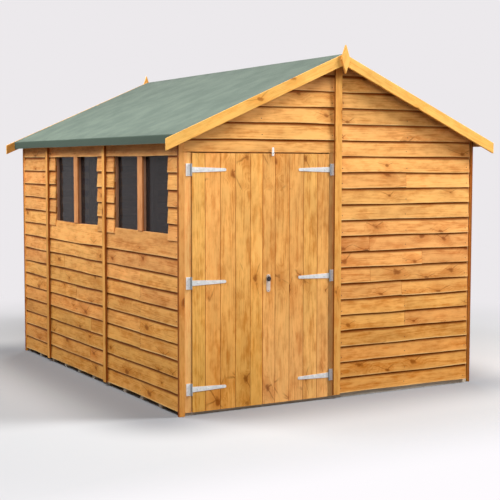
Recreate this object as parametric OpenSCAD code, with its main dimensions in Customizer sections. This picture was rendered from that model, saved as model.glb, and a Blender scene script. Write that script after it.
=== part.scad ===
// Lap-boarded garden shed with an apex roof, double doors in the front gable and two fixed windows.
// Millimetres. X runs across the gables, Y from front to back, Z up.
// The origin is under the middle of the floor.

/* [Walls] */
// Width over the wall frames, across the gables
gable_w = 2390; // [2200:5:2600]
// Length over the wall frames, front to back
wall_l = 3000; // [2800:5:3400]
// Width of a full panel of the long walls; the last panel takes what is left
side_panel_w = 1200; // [1150:5:1250]
// Gap between neighbouring wall panels
panel_gap = 4; // [2:0.5:8]
// Depth of the wall frames
frame_d = 34; // [28:1:45]
// Face width of a stud or rail
stud_w = 45; // [36:1:50]
// Height of the roof's underside above the doors' tops, at the outer face of the long walls
eave_over_door = 137; // [125:1:180]

/* [Lapped boards] */
// Thickness of a board
board_t = 8; // [6:0.5:10]
// Height of a board
board_h = 150; // [140:1:165]
// Height from one board's lower edge to the next
lap_pitch = 110.4; // [106:0.2:114]
// Height of the lowest board's lower edge
lap_start = 31; // [25:1:38]

/* [Floor] */
// Height of the bearers under the floor
bearer_h = 44; // [40:1:60]
// Width of a bearer
bearer_w = 45; // [35:1:60]
// Number of bearers
bearer_count = 11; // [7:2:13]
// Thickness of the floor deck
floor_t = 12; // [10:1:18]

/* [Doors] */
// Width of the left door post, from the wall's corner
left_post_w = 71; // [65:1:95]
// Width of the right door post, from the middle of the wall
right_post_w = 61; // [50:1:75]
// Thickness of the facing on the door posts
post_facing_t = 12; // [8:0.5:14]
// Height of the doors' lower edge
door_foot_z = 20; // [12:1:30]
// Height of a door
door_h = 1683; // [1600:1:1700]
// Thickness of the door boards
door_board_t = 12; // [10:0.5:16]
// Boards in one door
door_boards = 5; // [4:1:6]
// Width that a door board covers; the two outer boards take what is left
door_board_w = 112.5; // [95:0.5:120]
// Width and depth of the V groove between door boards
groove = 3; // [1.5:0.5:4]
// Gap beside a door at its post, and behind it
door_gap = 5; // [5:0.5:8]
// Gap between the two doors
meeting_gap = 6; // [5.5:0.5:9]
// Gap between the doors and the board over them
head_gap = 9; // [6:0.5:12]
// How far the frame reaches behind a door's edge as its stop
stop_lap = 8; // [4:1:12]
// Gap between small pieces that butt together
joint_play = 0.5; // [0.2:0.1:1]
// Height of a door ledge
ledge_h = 95; // [70:1:110]
// Thickness of a door ledge or brace
ledge_t = 18; // [14:1:22]
// Distance from a door's edge to the ends of its ledges
ledge_inset = 26; // [20:1:40]

/* [Hinges] */
// Length of a hinge strap from the pin
strap_l = 256; // [200:1:300]
// Strap width at the pin
strap_root_w = 36; // [30:1:42]
// Strap width at the tip
strap_tip_w = 20; // [14:1:26]
// Thickness of straps and plates
strap_t = 3; // [2:0.25:4]
// Height of a hinge plate
plate_h = 80; // [70:1:95]
// Width of a hinge plate
plate_w = 34; // [30:1:42]
// How far the hinge pins stand over the posts
pin_in = 3.5; // [2:0.5:6]
// Outer radius of the hinge knuckles
knuckle_r = 4.5; // [4:0.25:5]
// Radius of the hinge pin
pin_r = 2.5; // [2:0.25:3]
// Running clearance in the knuckles
pin_play = 0.3; // [0.2:0.05:0.5]
// Height of the lowest hinge above the door's foot
low_hinge_up = 151; // [120:1:180]
// Distance of the highest hinge below the door's top
high_hinge_down = 107; // [90:1:150]
// How far the middle hinge sits below the middle of the other two
mid_hinge_drop = 18; // [0:1:40]

/* [Windows] */
// Space between the studs at a panel's edges and the studs beside its window
jamb_gap = 31; // [15:1:80]
// Courses of boards beside the windows
window_courses = 5; // [3:1:6]
// Courses of boards over the windows
head_courses = 2; // [2:1:4]
// Thickness of the glazing
glass_t = 3; // [2:0.5:4]
// Width and depth of a glazing bead
bead = 17; // [12:1:20]
// Width of the mullion board between the panes
mullion_w = 82; // [60:1:100]
// Thickness of the mullion board
mullion_t = 13; // [10:0.5:16]

/* [Roof] */
// Pitch of the roof in degrees
roof_pitch = 23.7; // [20:0.1:28]
// Thickness of the roof deck
deck_t = 11; // [9:0.5:16]
// Thickness of the roofing felt
felt_t = 3; // [2:0.25:4]
// How far the roof deck reaches past the frames of the long walls
eave_out = 72; // [60:1:90]
// How far the roof deck reaches past the gable frames
verge_out = 82; // [70:1:110]
// Depth of the felt folded down over the eave
fold_h = 60; // [45:1:70]
// Gap under the roof deck where it rests on the walls and rails
roof_seat = 0.3; // [0.2:0.05:0.6]
// Height of the rails under the deck's edges
roof_rail_h = 45; // [35:1:55]
// Width of the rails and purlins under the deck
roof_rail_w = 28; // [20:1:35]
// Height of a purlin
purlin_h = 68; // [50:1:80]
// Purlins under each slope
purlins = 2; // [1:1:3]

/* [Trim] */
// Depth of a bargeboard, square to its length
barge_h = 70; // [65:1:75]
// Thickness of a bargeboard
barge_t = 18; // [14:1:22]
// How far the bargeboards reach past the frames of the long walls
barge_out = 146; // [120:1:170]
// Height of a finial
finial_h = 194; // [160:1:220]
// Width of a finial
finial_w = 70; // [55:1:85]
// Thickness of a finial
finial_t = 18; // [12:1:24]
// Width of a corner strip
corner_w = 41; // [36:1:50]
// Thickness of a corner strip on a gable
corner_t = 24; // [22:0.5:28]
// Width of the strips over the gables' middle joints
gable_strip_w = 56; // [46:1:62]
// Width of the strips over the long walls' joints
side_strip_w = 48; // [40:1:60]
// Thickness of the cover strips
strip_t = 16; // [10:0.5:20]
// Height of the cover strips' lower ends
strip_foot_z = 26; // [20:1:35]
// Distance of the boards from the corners at the right wall
board_end_in = 14; // [8:1:20]

/* [Fittings] */
// Distance of the lock from the door's meeting edge
lock_in = 40; // [28:1:60]
// Height of the lock's knob above the door's foot
lock_up = 848; // [700:1:1000]
// Width of the lock plate
lock_w = 30; // [24:1:36]
// Height of the lock plate
lock_h = 120; // [90:1:140]
// Thickness of the lock plate
lock_t = 2.5; // [1.5:0.25:4]
// Diameter of the lock's knob
knob_d = 34; // [28:1:36]
// Diameter of the knob's neck
knob_neck_d = 20; // [16:1:24]
// Diameter of the knob's flat face
knob_face_d = 24; // [18:1:27]
// How far the knob stands out of the lock plate
knob_out = 12; // [8:0.5:18]
// Length of the turn button
button_l = 58; // [45:1:70]
// Width of the turn button
button_w = 16; // [12:1:20]
// Distance of the turn button from the door's meeting edge
button_in = 70; // [50:1:140]
// How far the turn button stands off the door
button_stand = 6; // [5:0.5:9]

/* [Hidden] */
$fn = 48;

pine = "#e0a05a";
sawn = "#d9b27c";
pale = "#f2c46a";
felt_green = "#8fa396";
zinc = "#dcdad5";

half_w = gable_w / 2;
half_l = wall_l / 2;
floor_z = bearer_h + floor_t;

// Lapped boards: each board leans so that its back lies on the face of the board below.
lean = board_t * board_h / lap_pitch;
lap_d = lean + board_t;
function lap_z(course) = lap_start + course * lap_pitch;
function courses_below(z) = floor((z - lap_start) / lap_pitch);

// Roof: what it rests on ends at eave_z on the long walls' outer face, and the deck lies roof_seat above.
door_top_z = door_foot_z + door_h;
eave_z = door_top_z + eave_over_door;
slope = tan(roof_pitch);
ridge_z = eave_z + slope * half_w;
deck_top = roof_seat + deck_t / cos(roof_pitch);
felt_top = deck_top + felt_t / cos(roof_pitch);
barge_v = barge_h / cos(roof_pitch);
rail_v = roof_rail_h / cos(roof_pitch);
stud_v = stud_w / cos(roof_pitch);
roof_x = half_w + eave_out;
roof_y = half_l + verge_out;
function under_z(x) = ridge_z - slope * abs(x);

// Doorway in the left half of the front wall
opening_x0 = -half_w + left_post_w;
opening_x1 = -right_post_w;
leaf_w = (opening_x1 - opening_x0 - 2 * door_gap - meeting_gap) / 2;
left_door_x = opening_x0 + door_gap;
right_door_x = opening_x1 - door_gap - leaf_w;
head_z = door_top_z + head_gap;
door_back_y = -half_l - door_gap;
door_face_y = door_back_y - door_board_t;
tie_z = door_top_z - stop_lap;

// Hinges: the pins stand in front of the posts, close to the gap beside each door.
pin_y = door_face_y - strap_t - pin_r - joint_play;
left_pin_x = opening_x0 - pin_in;
right_pin_x = opening_x1 + pin_in;
low_hinge_z = door_foot_z + low_hinge_up;
high_hinge_z = door_top_z - high_hinge_down;
hinge_z = [low_hinge_z, (low_hinge_z + high_hinge_z) / 2 - mid_hinge_drop, high_hinge_z];
strap_knuckle_h = strap_root_w - 2 * joint_play;

// Windows in the two full panels of the left wall, between the studs beside them
top_course = courses_below(eave_z);
head_course = top_course + 1 - head_courses;
window_course = head_course - window_courses;
window_sill_z = lap_z(window_course - 1) + board_h;
window_head_z = lap_z(head_course);
window_w = side_panel_w - 2 * (frame_d + 2 * stud_w + jamb_gap);
full_panels = 2;
joint_y = [for (i = [1 : full_panels]) -half_l + i * side_panel_w];
window_y = [for (i = [0 : full_panels - 1]) -half_l + (i + 0.5) * side_panel_w];
frame_x = half_w - frame_d;
glass_x = -half_w + bead;
glass_z0 = window_sill_z - bead;
glass_z1 = window_head_z + bead;

button_z = door_top_z - button_w / 2;

// A block given by its two corners
module block(low, high) translate(low) cube(high - low);

// A 2D shape in Y and Z, drawn out along X
module along_x(x0, x1) translate([x0, 0, 0]) rotate([90, 0, 90]) linear_extrude(x1 - x0) children();

// A 2D shape in X and Z, drawn out along Y
module along_y(y0, y1) translate([0, y1, 0]) rotate([90, 0, 0]) linear_extrude(y1 - y0) children();

// Everything below the roof's underside, as a 2D shape in X and Z
module under_roof_2d(drop = 0) {
    reach = roof_x + barge_out;
    polygon([[-reach, 0], [reach, 0], [reach, under_z(reach) - drop], [0, ridge_z - drop],
        [-reach, under_z(reach) - drop]]);
}

module under_roof() along_y(-2 * half_l, 2 * half_l) under_roof_2d();

// Section of lapped boards from one course to another; the depth runs along side * first axis from place
module lap_section(first, last, place, side) {
    outer = [for (i = [first : last], top = [0, 1])
        top == 0 ? [lap_d, lap_z(i)] : (i < last ? [lean, lap_z(i + 1)] : [board_t, lap_z(i) + board_h])];
    inner = [for (i = [last : -1 : first], low = [0, 1])
        low == 0 ? [0, lap_z(i) + board_h]
            : (i > first ? [board_t, lap_z(i - 1) + board_h] : [lean, lap_z(i)])];
    polygon([for (p = concat(outer, inner)) [place + side * p[0], p[1]]]);
}

// Lapped boards on a gable, up to the roof, seen from outside at side (-1 front, 1 back)
module gable_boards(x0, x1, first, side, low_z = 0) {
    intersection() {
        along_x(x0, x1) lap_section(first, courses_below(ridge_z), side * half_l, side);
        along_y(-2 * half_l, 2 * half_l) intersection() {
            under_roof_2d();
            translate([-2 * half_w, low_z]) square([4 * half_w, 2 * ridge_z]);
        }
    }
}

// Lapped boards on a long wall (side -1 left, 1 right)
module side_boards(y0, y1, first, last, side) {
    intersection() {
        along_y(y0, y1) lap_section(first, last, side * half_w, side);
        under_roof();
    }
}

// Upright studs of a gable frame: bands of X from low_z to high_z, or to the rafters
module gable_studs(bands, low_z, high_z, side) {
    y = side * half_l;
    along_y(min(y, y - side * frame_d), max(y, y - side * frame_d)) for (b = bands) intersection() {
        translate([b[0], low_z]) square([b[1] - b[0], high_z - low_z]);
        under_roof_2d(stud_v);
    }
}

// Two posts from the tie rail to the rafters, one for each half of a gable
module king_posts(side) gable_studs([for (s = [-1, 1])
    [s * (panel_gap + stud_w) / 2 - stud_w / 2, s * (panel_gap + stud_w) / 2 + stud_w / 2]],
    tie_z + stud_w, ridge_z, side);

// Sole, tie rail and rafters of a gable frame
module gable_rails(tie_x0, tie_x1, side) {
    y = side * half_l;
    along_y(min(y, y - side * frame_d), max(y, y - side * frame_d)) {
        translate([-half_w, floor_z]) square([gable_w, stud_w]);
        translate([tie_x0, tie_z]) square([tie_x1 - tie_x0, stud_w]);
        for (s = [-1, 1]) {
            x = panel_gap / 2;
            polygon([[s * half_w, eave_z], [s * x, under_z(x)], [s * x, under_z(x) - stud_v],
                [s * half_w, eave_z - stud_v]]);
        }
    }
}

// Studs of a long wall frame: bands of Y between two heights
module side_studs(bands, z0, z1, side) {
    for (b = bands) {
        block([side < 0 ? -half_w : frame_x, b[0], z0], [side < 0 ? -frame_x : half_w, b[1], z1]);
    }
}

// Sole and top rail of a long wall frame; the top rail follows the roof
module side_rails(side) {
    y0 = -half_l + frame_d;
    block([side < 0 ? -half_w : frame_x, y0, floor_z], [side < 0 ? -frame_x : half_w, -y0, floor_z + stud_w]);
    along_y(y0, -y0) polygon([[side * half_w, eave_z - stud_w], [side * half_w, eave_z],
        [side * frame_x, under_z(frame_x)], [side * frame_x, eave_z - stud_w]]);
}

// Studs at both edges of each panel of a long wall, from the gable frames inwards
function panel_edges() = concat(
    [[-half_l + frame_d, -half_l + frame_d + stud_w]],
    [for (y = joint_y, s = [0, 1]) [y - panel_gap / 2 - stud_w + s * (stud_w + panel_gap),
        y - panel_gap / 2 + s * (stud_w + panel_gap)]],
    [[half_l - frame_d - stud_w, half_l - frame_d]]);
stud_z0 = floor_z + stud_w;
stud_z1 = eave_z - stud_w;

module floor_bearers() color(sawn) {
    pitch = (wall_l - bearer_w) / (bearer_count - 1);
    for (i = [0 : bearer_count - 1]) {
        y = -half_l + i * pitch;
        block([-half_w, y, 0], [half_w, y + bearer_w, bearer_h]);
    }
}

module floor_deck() color(sawn) block([-half_w, -half_l, bearer_h], [half_w, half_l, floor_z]);

module front_wall_boards() color(pine) gable_boards(panel_gap / 2, half_w - board_end_in, 0, -1);

module front_gable_boards() color(pine)
    gable_boards(-half_w + corner_w - corner_t, -panel_gap / 2, courses_below(head_z), -1, head_z);

module front_wall_studs() color(sawn) {
    gable_studs([[-half_w, left_door_x + stop_lap], [half_w - stud_w, half_w]], stud_z0, ridge_z, -1);
    gable_studs([[right_door_x + leaf_w - stop_lap, -panel_gap / 2], [panel_gap / 2, panel_gap / 2 + stud_w],
        [(half_w - stud_w) / 2, (half_w + stud_w) / 2]], stud_z0, tie_z, -1);
    king_posts(-1);
}

module front_wall_rails() color(sawn) gable_rails(left_door_x + stop_lap, half_w - stud_w, -1);

module door_posts() color(pine) {
    y0 = -half_l - post_facing_t;
    block([-half_w + corner_w - corner_t, y0, door_foot_z], [opening_x0, -half_l, head_z]);
    block([opening_x1, y0, door_foot_z], [-panel_gap / 2, -half_l, head_z]);
}

module back_wall_boards() color(pine) {
    gable_boards(-half_w + corner_w - corner_t, -panel_gap / 2, 0, 1);
    gable_boards(panel_gap / 2, half_w - board_end_in, 0, 1);
}

module back_wall_studs() color(sawn) {
    gable_studs([[-half_w, -half_w + stud_w], [half_w - stud_w, half_w]], stud_z0, ridge_z, 1);
    king_posts(1);
    for (s = [-1, 1]) {
        inner = s * (panel_gap + stud_w) / 2;
        middle = s * half_w / 2;
        gable_studs([[inner - stud_w / 2, inner + stud_w / 2], [middle - stud_w / 2, middle + stud_w / 2]],
            stud_z0, tie_z, 1);
    }
}

module back_wall_rails() color(sawn) gable_rails(-half_w + stud_w, half_w - stud_w, 1);

// Bands of Y that the boards of a long wall's panels take up
function side_bands(y0, y1) = [
    [y0, joint_y[0] - panel_gap / 2],
    [joint_y[0] + panel_gap / 2, joint_y[1] - panel_gap / 2],
    [joint_y[1] + panel_gap / 2, y1]];
left_bands = side_bands(-half_l, half_l);
right_bands = side_bands(-half_l + board_end_in, half_l - board_end_in);

module left_wall_boards() color(pine) {
    for (i = [0 : full_panels - 1]) {
        side_boards(left_bands[i][0], left_bands[i][1], 0, window_course - 1, -1);
    }
    side_boards(left_bands[full_panels][0], left_bands[full_panels][1], 0, top_course, -1);
}

module window_side_boards() color(pine) for (i = [0 : full_panels - 1]) {
    last = head_course - 1;
    side_boards(left_bands[i][0], window_y[i] - window_w / 2, window_course, last, -1);
    side_boards(window_y[i] + window_w / 2, left_bands[i][1], window_course, last, -1);
}

module window_head_boards() color(pine) for (i = [0 : full_panels - 1]) {
    side_boards(left_bands[i][0], left_bands[i][1], head_course, top_course, -1);
}

module left_wall_studs() color(sawn) {
    side_studs(panel_edges(), stud_z0, stud_z1, -1);
    for (y = window_y) {
        jambs = [for (s = [-1, 1]) [y + s * window_w / 2 + min(0, s) * stud_w,
            y + s * window_w / 2 + max(0, s) * stud_w]];
        side_studs(jambs, stud_z0, stud_z1, -1);
        side_studs([[y - mullion_stud_w / 2, y + mullion_stud_w / 2]], glass_z0, glass_z1, -1);
    }
}

module left_wall_rails() color(sawn) {
    side_rails(-1);
    for (y = window_y, z = [glass_z0 - stud_w, glass_z1]) {
        block([-half_w, y - window_w / 2, z], [-frame_x, y + window_w / 2, z + stud_w]);
    }
}

// Each window has two panes between the jambs and the mullion's stud, with their upper and lower edges
// behind the boards; a pane is given by its side of the stud
mullion_stud_w = mullion_w - 2 * bead;
pane_w = (window_w - mullion_stud_w) / 2;
function pane_y(y, s) = y + s * (mullion_stud_w + pane_w) / 2;

module window_panes() color("#5a5f66", 0.6) for (y = window_y, s = [-1, 1]) {
    block([glass_x, pane_y(y, s) - pane_w / 2, glass_z0],
        [glass_x + glass_t, pane_y(y, s) + pane_w / 2, glass_z1]);
}

module window_beads() color(pine) for (y = window_y, s = [-1, 1]) {
    low = pane_y(y, s) - pane_w / 2;
    high = low + pane_w;
    for (b = [[low, low + bead], [high - bead, high]]) {
        block([-half_w, b[0], glass_z0], [glass_x, b[1], glass_z1]);
    }
    for (z = [glass_z0, window_head_z]) {
        block([-half_w, low + bead + joint_play, z], [glass_x, high - bead - joint_play, z + bead]);
    }
}

// A board over each mullion's stud and the beads beside it
module window_mullions() color(pine) for (y = window_y) {
    block([-half_w - mullion_t, y - mullion_w / 2, window_sill_z],
        [-half_w, y + mullion_w / 2, window_head_z]);
}

module right_wall_boards() color(pine) for (b = right_bands) side_boards(b[0], b[1], 0, top_course, 1);

module right_wall_studs() color(sawn) {
    side_studs(panel_edges(), stud_z0, stud_z1, 1);
    side_studs([for (y = window_y) [y - stud_w / 2, y + stud_w / 2]], stud_z0, stud_z1, 1);
}

module right_wall_rails() color(sawn) side_rails(1);

// A strip over each joint of the long walls, cut to the slope of the roof
module side_wall_cover_strips() color(pine) for (y = joint_y, side = [-1, 1]) intersection() {
    x0 = side * (half_w + lap_d);
    x1 = side * (half_w + lap_d + strip_t);
    block([min(x0, x1), y - side_strip_w / 2, strip_foot_z], [max(x0, x1), y + side_strip_w / 2, ridge_z]);
    under_roof();
}

module gable_cover_strips() color(pine) for (turn = [0, 180]) rotate([0, 0, turn]) intersection() {
    block([-gable_strip_w / 2, -half_l - lap_d - strip_t, strip_foot_z],
        [gable_strip_w / 2, -half_l - lap_d, ridge_z]);
    under_roof();
}

// At the left wall the strips stand on the gables; at the right wall they lie on its boards.
module corner_strips() color(pine) for (back = [0, 1]) mirror([0, back, 0]) intersection() {
    union() {
        block([-half_w - corner_t, -half_l - corner_t, 0], [-half_w - corner_t + corner_w, -half_l, ridge_z]);
        block([half_w + lap_d, -half_l, 0], [half_w + lap_d + strip_t, -half_l + corner_w, ridge_z]);
    }
    under_roof();
}

// A slab on one slope, from height low to height high above the roof's underside
module slope_slab(low, high, side) along_y(-roof_y, roof_y) polygon([
    [0, ridge_z + low], [side * roof_x, under_z(roof_x) + low],
    [side * roof_x, under_z(roof_x) + high], [0, ridge_z + high]]);

module left_roof_deck() color(sawn) slope_slab(roof_seat, deck_top, -1);
module right_roof_deck() color(sawn) slope_slab(roof_seat, deck_top, 1);
module left_roof_felt() color(felt_green) slope_slab(deck_top, felt_top, -1);
module right_roof_felt() color(felt_green) slope_slab(deck_top, felt_top, 1);

module eave_felt_folds() color(felt_green) for (s = [-1, 1]) along_y(-roof_y, roof_y) {
    top = under_z(roof_x) + felt_top;
    polygon([[s * roof_x, top], [s * (roof_x + felt_t), top - felt_t * slope],
        [s * (roof_x + felt_t), top - fold_h], [s * roof_x, top - fold_h]]);
}

// Eave rail, verge rails and purlins under one slope
module roof_rails(side) color(sawn) {
    inner_x = roof_x - roof_rail_w;
    along_y(-roof_y + roof_rail_w + joint_play, roof_y - roof_rail_w - joint_play) polygon([
        [side * roof_x, under_z(roof_x)], [side * inner_x, under_z(inner_x)],
        [side * inner_x, under_z(roof_x) - roof_rail_h], [side * roof_x, under_z(roof_x) - roof_rail_h]]);
    for (y = [-roof_y, roof_y - roof_rail_w]) along_y(y, y + roof_rail_w) polygon([
        [0, ridge_z], [side * roof_x, under_z(roof_x)],
        [side * roof_x, under_z(roof_x) - rail_v], [0, ridge_z - rail_v]]);
    for (i = [1 : purlins]) {
        x = i * half_w / (purlins + 1);
        along_y(-half_l + frame_d, half_l - frame_d) translate([side * x, under_z(x)])
            rotate(-side * roof_pitch) translate([-roof_rail_w / 2, -purlin_h])
                square([roof_rail_w, purlin_h]);
    }
}

module left_roof_rails() roof_rails(-1);
module right_roof_rails() roof_rails(1);

// A bargeboard: plumb cut at the ridge and at the eave, its upper edge level with the felt
module bargeboard(side) color(pale) {
    low = felt_top - barge_v;
    end_x = half_w + barge_out;
    along_y(-roof_y - barge_t, -roof_y) polygon([
        [0, ridge_z + felt_top], [side * end_x, under_z(end_x) + felt_top],
        [side * end_x, under_z(end_x) + low], [0, ridge_z + low]]);
}

module front_left_bargeboard() bargeboard(-1);
module front_right_bargeboard() bargeboard(1);
module back_left_bargeboard() mirror([0, 1, 0]) bargeboard(-1);
module back_right_bargeboard() mirror([0, 1, 0]) bargeboard(1);

// Diamond finials over the joint of each pair of bargeboards
module finials() color(pale) for (turn = [0, 180]) rotate([0, 0, turn]) {
    middle_z = ridge_z + felt_top - barge_v / 2;
    along_y(-roof_y - barge_t - finial_t, -roof_y - barge_t) translate([0, middle_z]) polygon([
        [0, finial_h / 2], [finial_w / 2, 0], [0, -finial_h / 2], [-finial_w / 2, 0]]);
}

// A leaf of upright boards with a V groove at each joint of its face
module leaf(x) {
    first = x + (leaf_w - (door_boards - 2) * door_board_w) / 2;
    front = [for (i = [0 : door_boards - 2], k = [-1, 0, 1])
        [first + i * door_board_w + k * groove / 2, door_face_y + (k == 0 ? groove : 0)]];
    translate([0, 0, door_foot_z]) linear_extrude(door_h)
        polygon(concat([[x, door_back_y], [x, door_face_y]], front,
            [[x + leaf_w, door_face_y], [x + leaf_w, door_back_y]]));
}

// Ledges at the hinges and a brace between each pair, rising from the hinge side
module leaf_ledges(x, hinge_side) {
    x0 = x + ledge_inset;
    x1 = x + leaf_w - ledge_inset;
    for (z = hinge_z) block([x0, door_back_y, z - ledge_h / 2], [x1, door_back_y + ledge_t, z + ledge_h / 2]);
    for (i = [0, 1]) along_y(door_back_y, door_back_y + ledge_t) {
        low = hinge_z[i] + ledge_h / 2 + joint_play;
        high = hinge_z[i + 1] - ledge_h / 2 - joint_play;
        foot = hinge_side < 0 ? x0 : x1;
        head = hinge_side < 0 ? x1 : x0;
        run = -hinge_side * ledge_h;
        polygon([[foot, low], [foot + run, low], [head, high], [head - run, high]]);
    }
}

module left_door_boards() color(pine) leaf(left_door_x);
module right_door_boards() color(pine) leaf(right_door_x);
module left_door_ledges() color(sawn) leaf_ledges(left_door_x, -1);
module right_door_ledges() color(sawn) leaf_ledges(right_door_x, 1);

// A tapered strap with a round tip, and the knuckle that turns on the pin
module hinge_strap(pin_x, side) color(zinc) for (z = hinge_z) translate([pin_x, 0, z]) {
    tip_x = side * (strap_l - strap_tip_w / 2);
    difference() {
        union() {
            along_y(door_face_y - strap_t, door_face_y) {
                polygon([[side * knuckle_r / 2, -strap_root_w / 2], [side * knuckle_r / 2, strap_root_w / 2],
                    [tip_x, strap_tip_w / 2], [tip_x, -strap_tip_w / 2]]);
                translate([tip_x, 0]) circle(r = strap_tip_w / 2);
            }
            translate([0, pin_y, -strap_knuckle_h / 2]) cylinder(r = knuckle_r, h = strap_knuckle_h);
        }
        translate([0, pin_y, -strap_root_w]) cylinder(r = pin_r + pin_play, h = 2 * strap_root_w);
    }
}

module left_hinge_straps() hinge_strap(left_pin_x, 1);
module right_hinge_straps() hinge_strap(right_pin_x, -1);

// A plate on the post with its two knuckles and the pin
module hinge_plate(pin_x, side) translate([pin_x, 0, 0]) {
    face_y = -half_l - post_facing_t;
    edge = side * (knuckle_r - strap_t);
    far = edge + side * plate_w;
    block([min(edge, far), face_y - strap_t, -plate_h / 2], [max(edge, far), face_y, plate_h / 2]);
    knuckle_h = (plate_h - strap_root_w) / 2 - pin_play;
    for (z = [-plate_h / 2, plate_h / 2 - knuckle_h]) {
        translate([0, pin_y, z]) cylinder(r = knuckle_r, h = knuckle_h);
        web = edge + side * strap_t;
        block([min(edge, web), pin_y, z], [max(edge, web), face_y, z + knuckle_h]);
    }
    translate([0, pin_y, -plate_h / 2]) cylinder(r = pin_r, h = plate_h);
}

module hinge_plates() color(zinc) for (z = hinge_z) translate([0, 0, z]) {
    hinge_plate(left_pin_x, -1);
    hinge_plate(right_pin_x, 1);
}

// A plate with round ends and a bevelled knob near its top, on the right door
module door_lock() color("#3a3634") translate([right_door_x + lock_in, door_face_y, door_foot_z + lock_up])
    rotate([90, 0, 0]) {
        top = lock_w / 2;
        foot = top - lock_h + lock_w;
        linear_extrude(lock_t) {
            for (y = [top, foot]) translate([0, y]) circle(d = lock_w);
            translate([-lock_w / 2, foot]) square([lock_w, top - foot]);
        }
        cylinder(d = knob_neck_d, h = knob_out / 2);
        translate([0, 0, lock_t + knob_out / 2]) cylinder(d1 = knob_d, d2 = knob_face_d, h = knob_out / 2);
        translate([0, 0, lock_t + knob_out / 4]) cylinder(d1 = knob_neck_d, d2 = knob_d, h = knob_out / 4);
    }

// A bar on a washer at the top of the right door; its upper end stands in front of the board above
module turn_button() color("#e8e6e0") translate([right_door_x + button_in, door_face_y, button_z])
    rotate([90, 0, 0]) {
        cylinder(d = button_w, h = button_stand + strap_t);
        translate([0, 0, button_stand]) linear_extrude(strap_t) {
            translate([-button_w / 2, 0]) square([button_w, button_l - button_w]);
            translate([0, button_l - button_w]) circle(d = button_w);
        }
    }

floor_bearers();
floor_deck();
front_wall_boards();
front_gable_boards();
front_wall_studs();
front_wall_rails();
door_posts();
back_wall_boards();
back_wall_studs();
back_wall_rails();
left_wall_boards();
window_side_boards();
window_head_boards();
left_wall_studs();
left_wall_rails();
window_panes();
window_beads();
window_mullions();
right_wall_boards();
right_wall_studs();
right_wall_rails();
side_wall_cover_strips();
gable_cover_strips();
corner_strips();
left_roof_deck();
right_roof_deck();
left_roof_rails();
right_roof_rails();
left_roof_felt();
right_roof_felt();
eave_felt_folds();
front_left_bargeboard();
front_right_bargeboard();
back_left_bargeboard();
back_right_bargeboard();
finials();
left_door_boards();
left_door_ledges();
right_door_boards();
right_door_ledges();
left_hinge_straps();
right_hinge_straps();
hinge_plates();
door_lock();
turn_button();
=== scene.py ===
"""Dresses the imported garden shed: lapped walls, doors, windows, felted roof, trim and fittings."""

import logging
import math
import random
from collections.abc import Iterable, Sequence
from dataclasses import dataclass, field, replace
from enum import Enum
from typing import ClassVar

import bmesh
import bpy
from mathutils import Euler, Matrix, Vector


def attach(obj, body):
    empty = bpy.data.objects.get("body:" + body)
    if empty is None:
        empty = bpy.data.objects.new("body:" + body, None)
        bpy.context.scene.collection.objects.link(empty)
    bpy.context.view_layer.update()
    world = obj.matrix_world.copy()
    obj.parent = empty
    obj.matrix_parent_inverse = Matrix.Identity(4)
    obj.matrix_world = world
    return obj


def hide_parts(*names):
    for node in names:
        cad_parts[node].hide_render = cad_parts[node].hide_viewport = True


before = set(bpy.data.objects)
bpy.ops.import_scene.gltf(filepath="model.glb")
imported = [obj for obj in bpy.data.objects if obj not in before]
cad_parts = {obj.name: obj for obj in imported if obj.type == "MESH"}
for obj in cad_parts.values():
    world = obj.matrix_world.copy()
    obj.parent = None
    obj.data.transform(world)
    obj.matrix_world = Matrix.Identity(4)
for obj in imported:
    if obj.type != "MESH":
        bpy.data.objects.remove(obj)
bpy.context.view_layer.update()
LOG = logging.getLogger("shed")

Material = bpy.types.Material
Mesh = bpy.types.Mesh
Socket = bpy.types.NodeSocket
Work = bmesh.types.BMesh
Point = tuple[float, float, float]
Rgb = tuple[float, float, float]
Span = tuple[float, float]


class Body(str, Enum):
    """The bodies that pieces ride on."""

    SHED = "shed"
    LEFT_DOOR = "left_door"
    RIGHT_DOOR = "right_door"


class Side(Enum):
    """The four outer walls, each with its turn about Z from the front, in degrees."""

    FRONT = 0
    RIGHT = 90
    BACK = 180
    LEFT = 270


class Ease(Enum):
    """How wide the eased edges of each kind of piece are, in metres."""

    METAL = 0.0006
    BUTTON = 0.001
    SAWN = 0.0015
    STRIP = 0.002
    TRIM = 0.0025


def linear(*channels: int) -> Rgb:
    """Turn a colour as seen on screen, 0 to 255, into the linear values that shaders take."""
    shares = [channel / 255 for channel in channels]
    return tuple(s / 12.92 if s <= 0.04045 else ((s + 0.055) / 1.055) ** 2.4 for s in shares)


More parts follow.
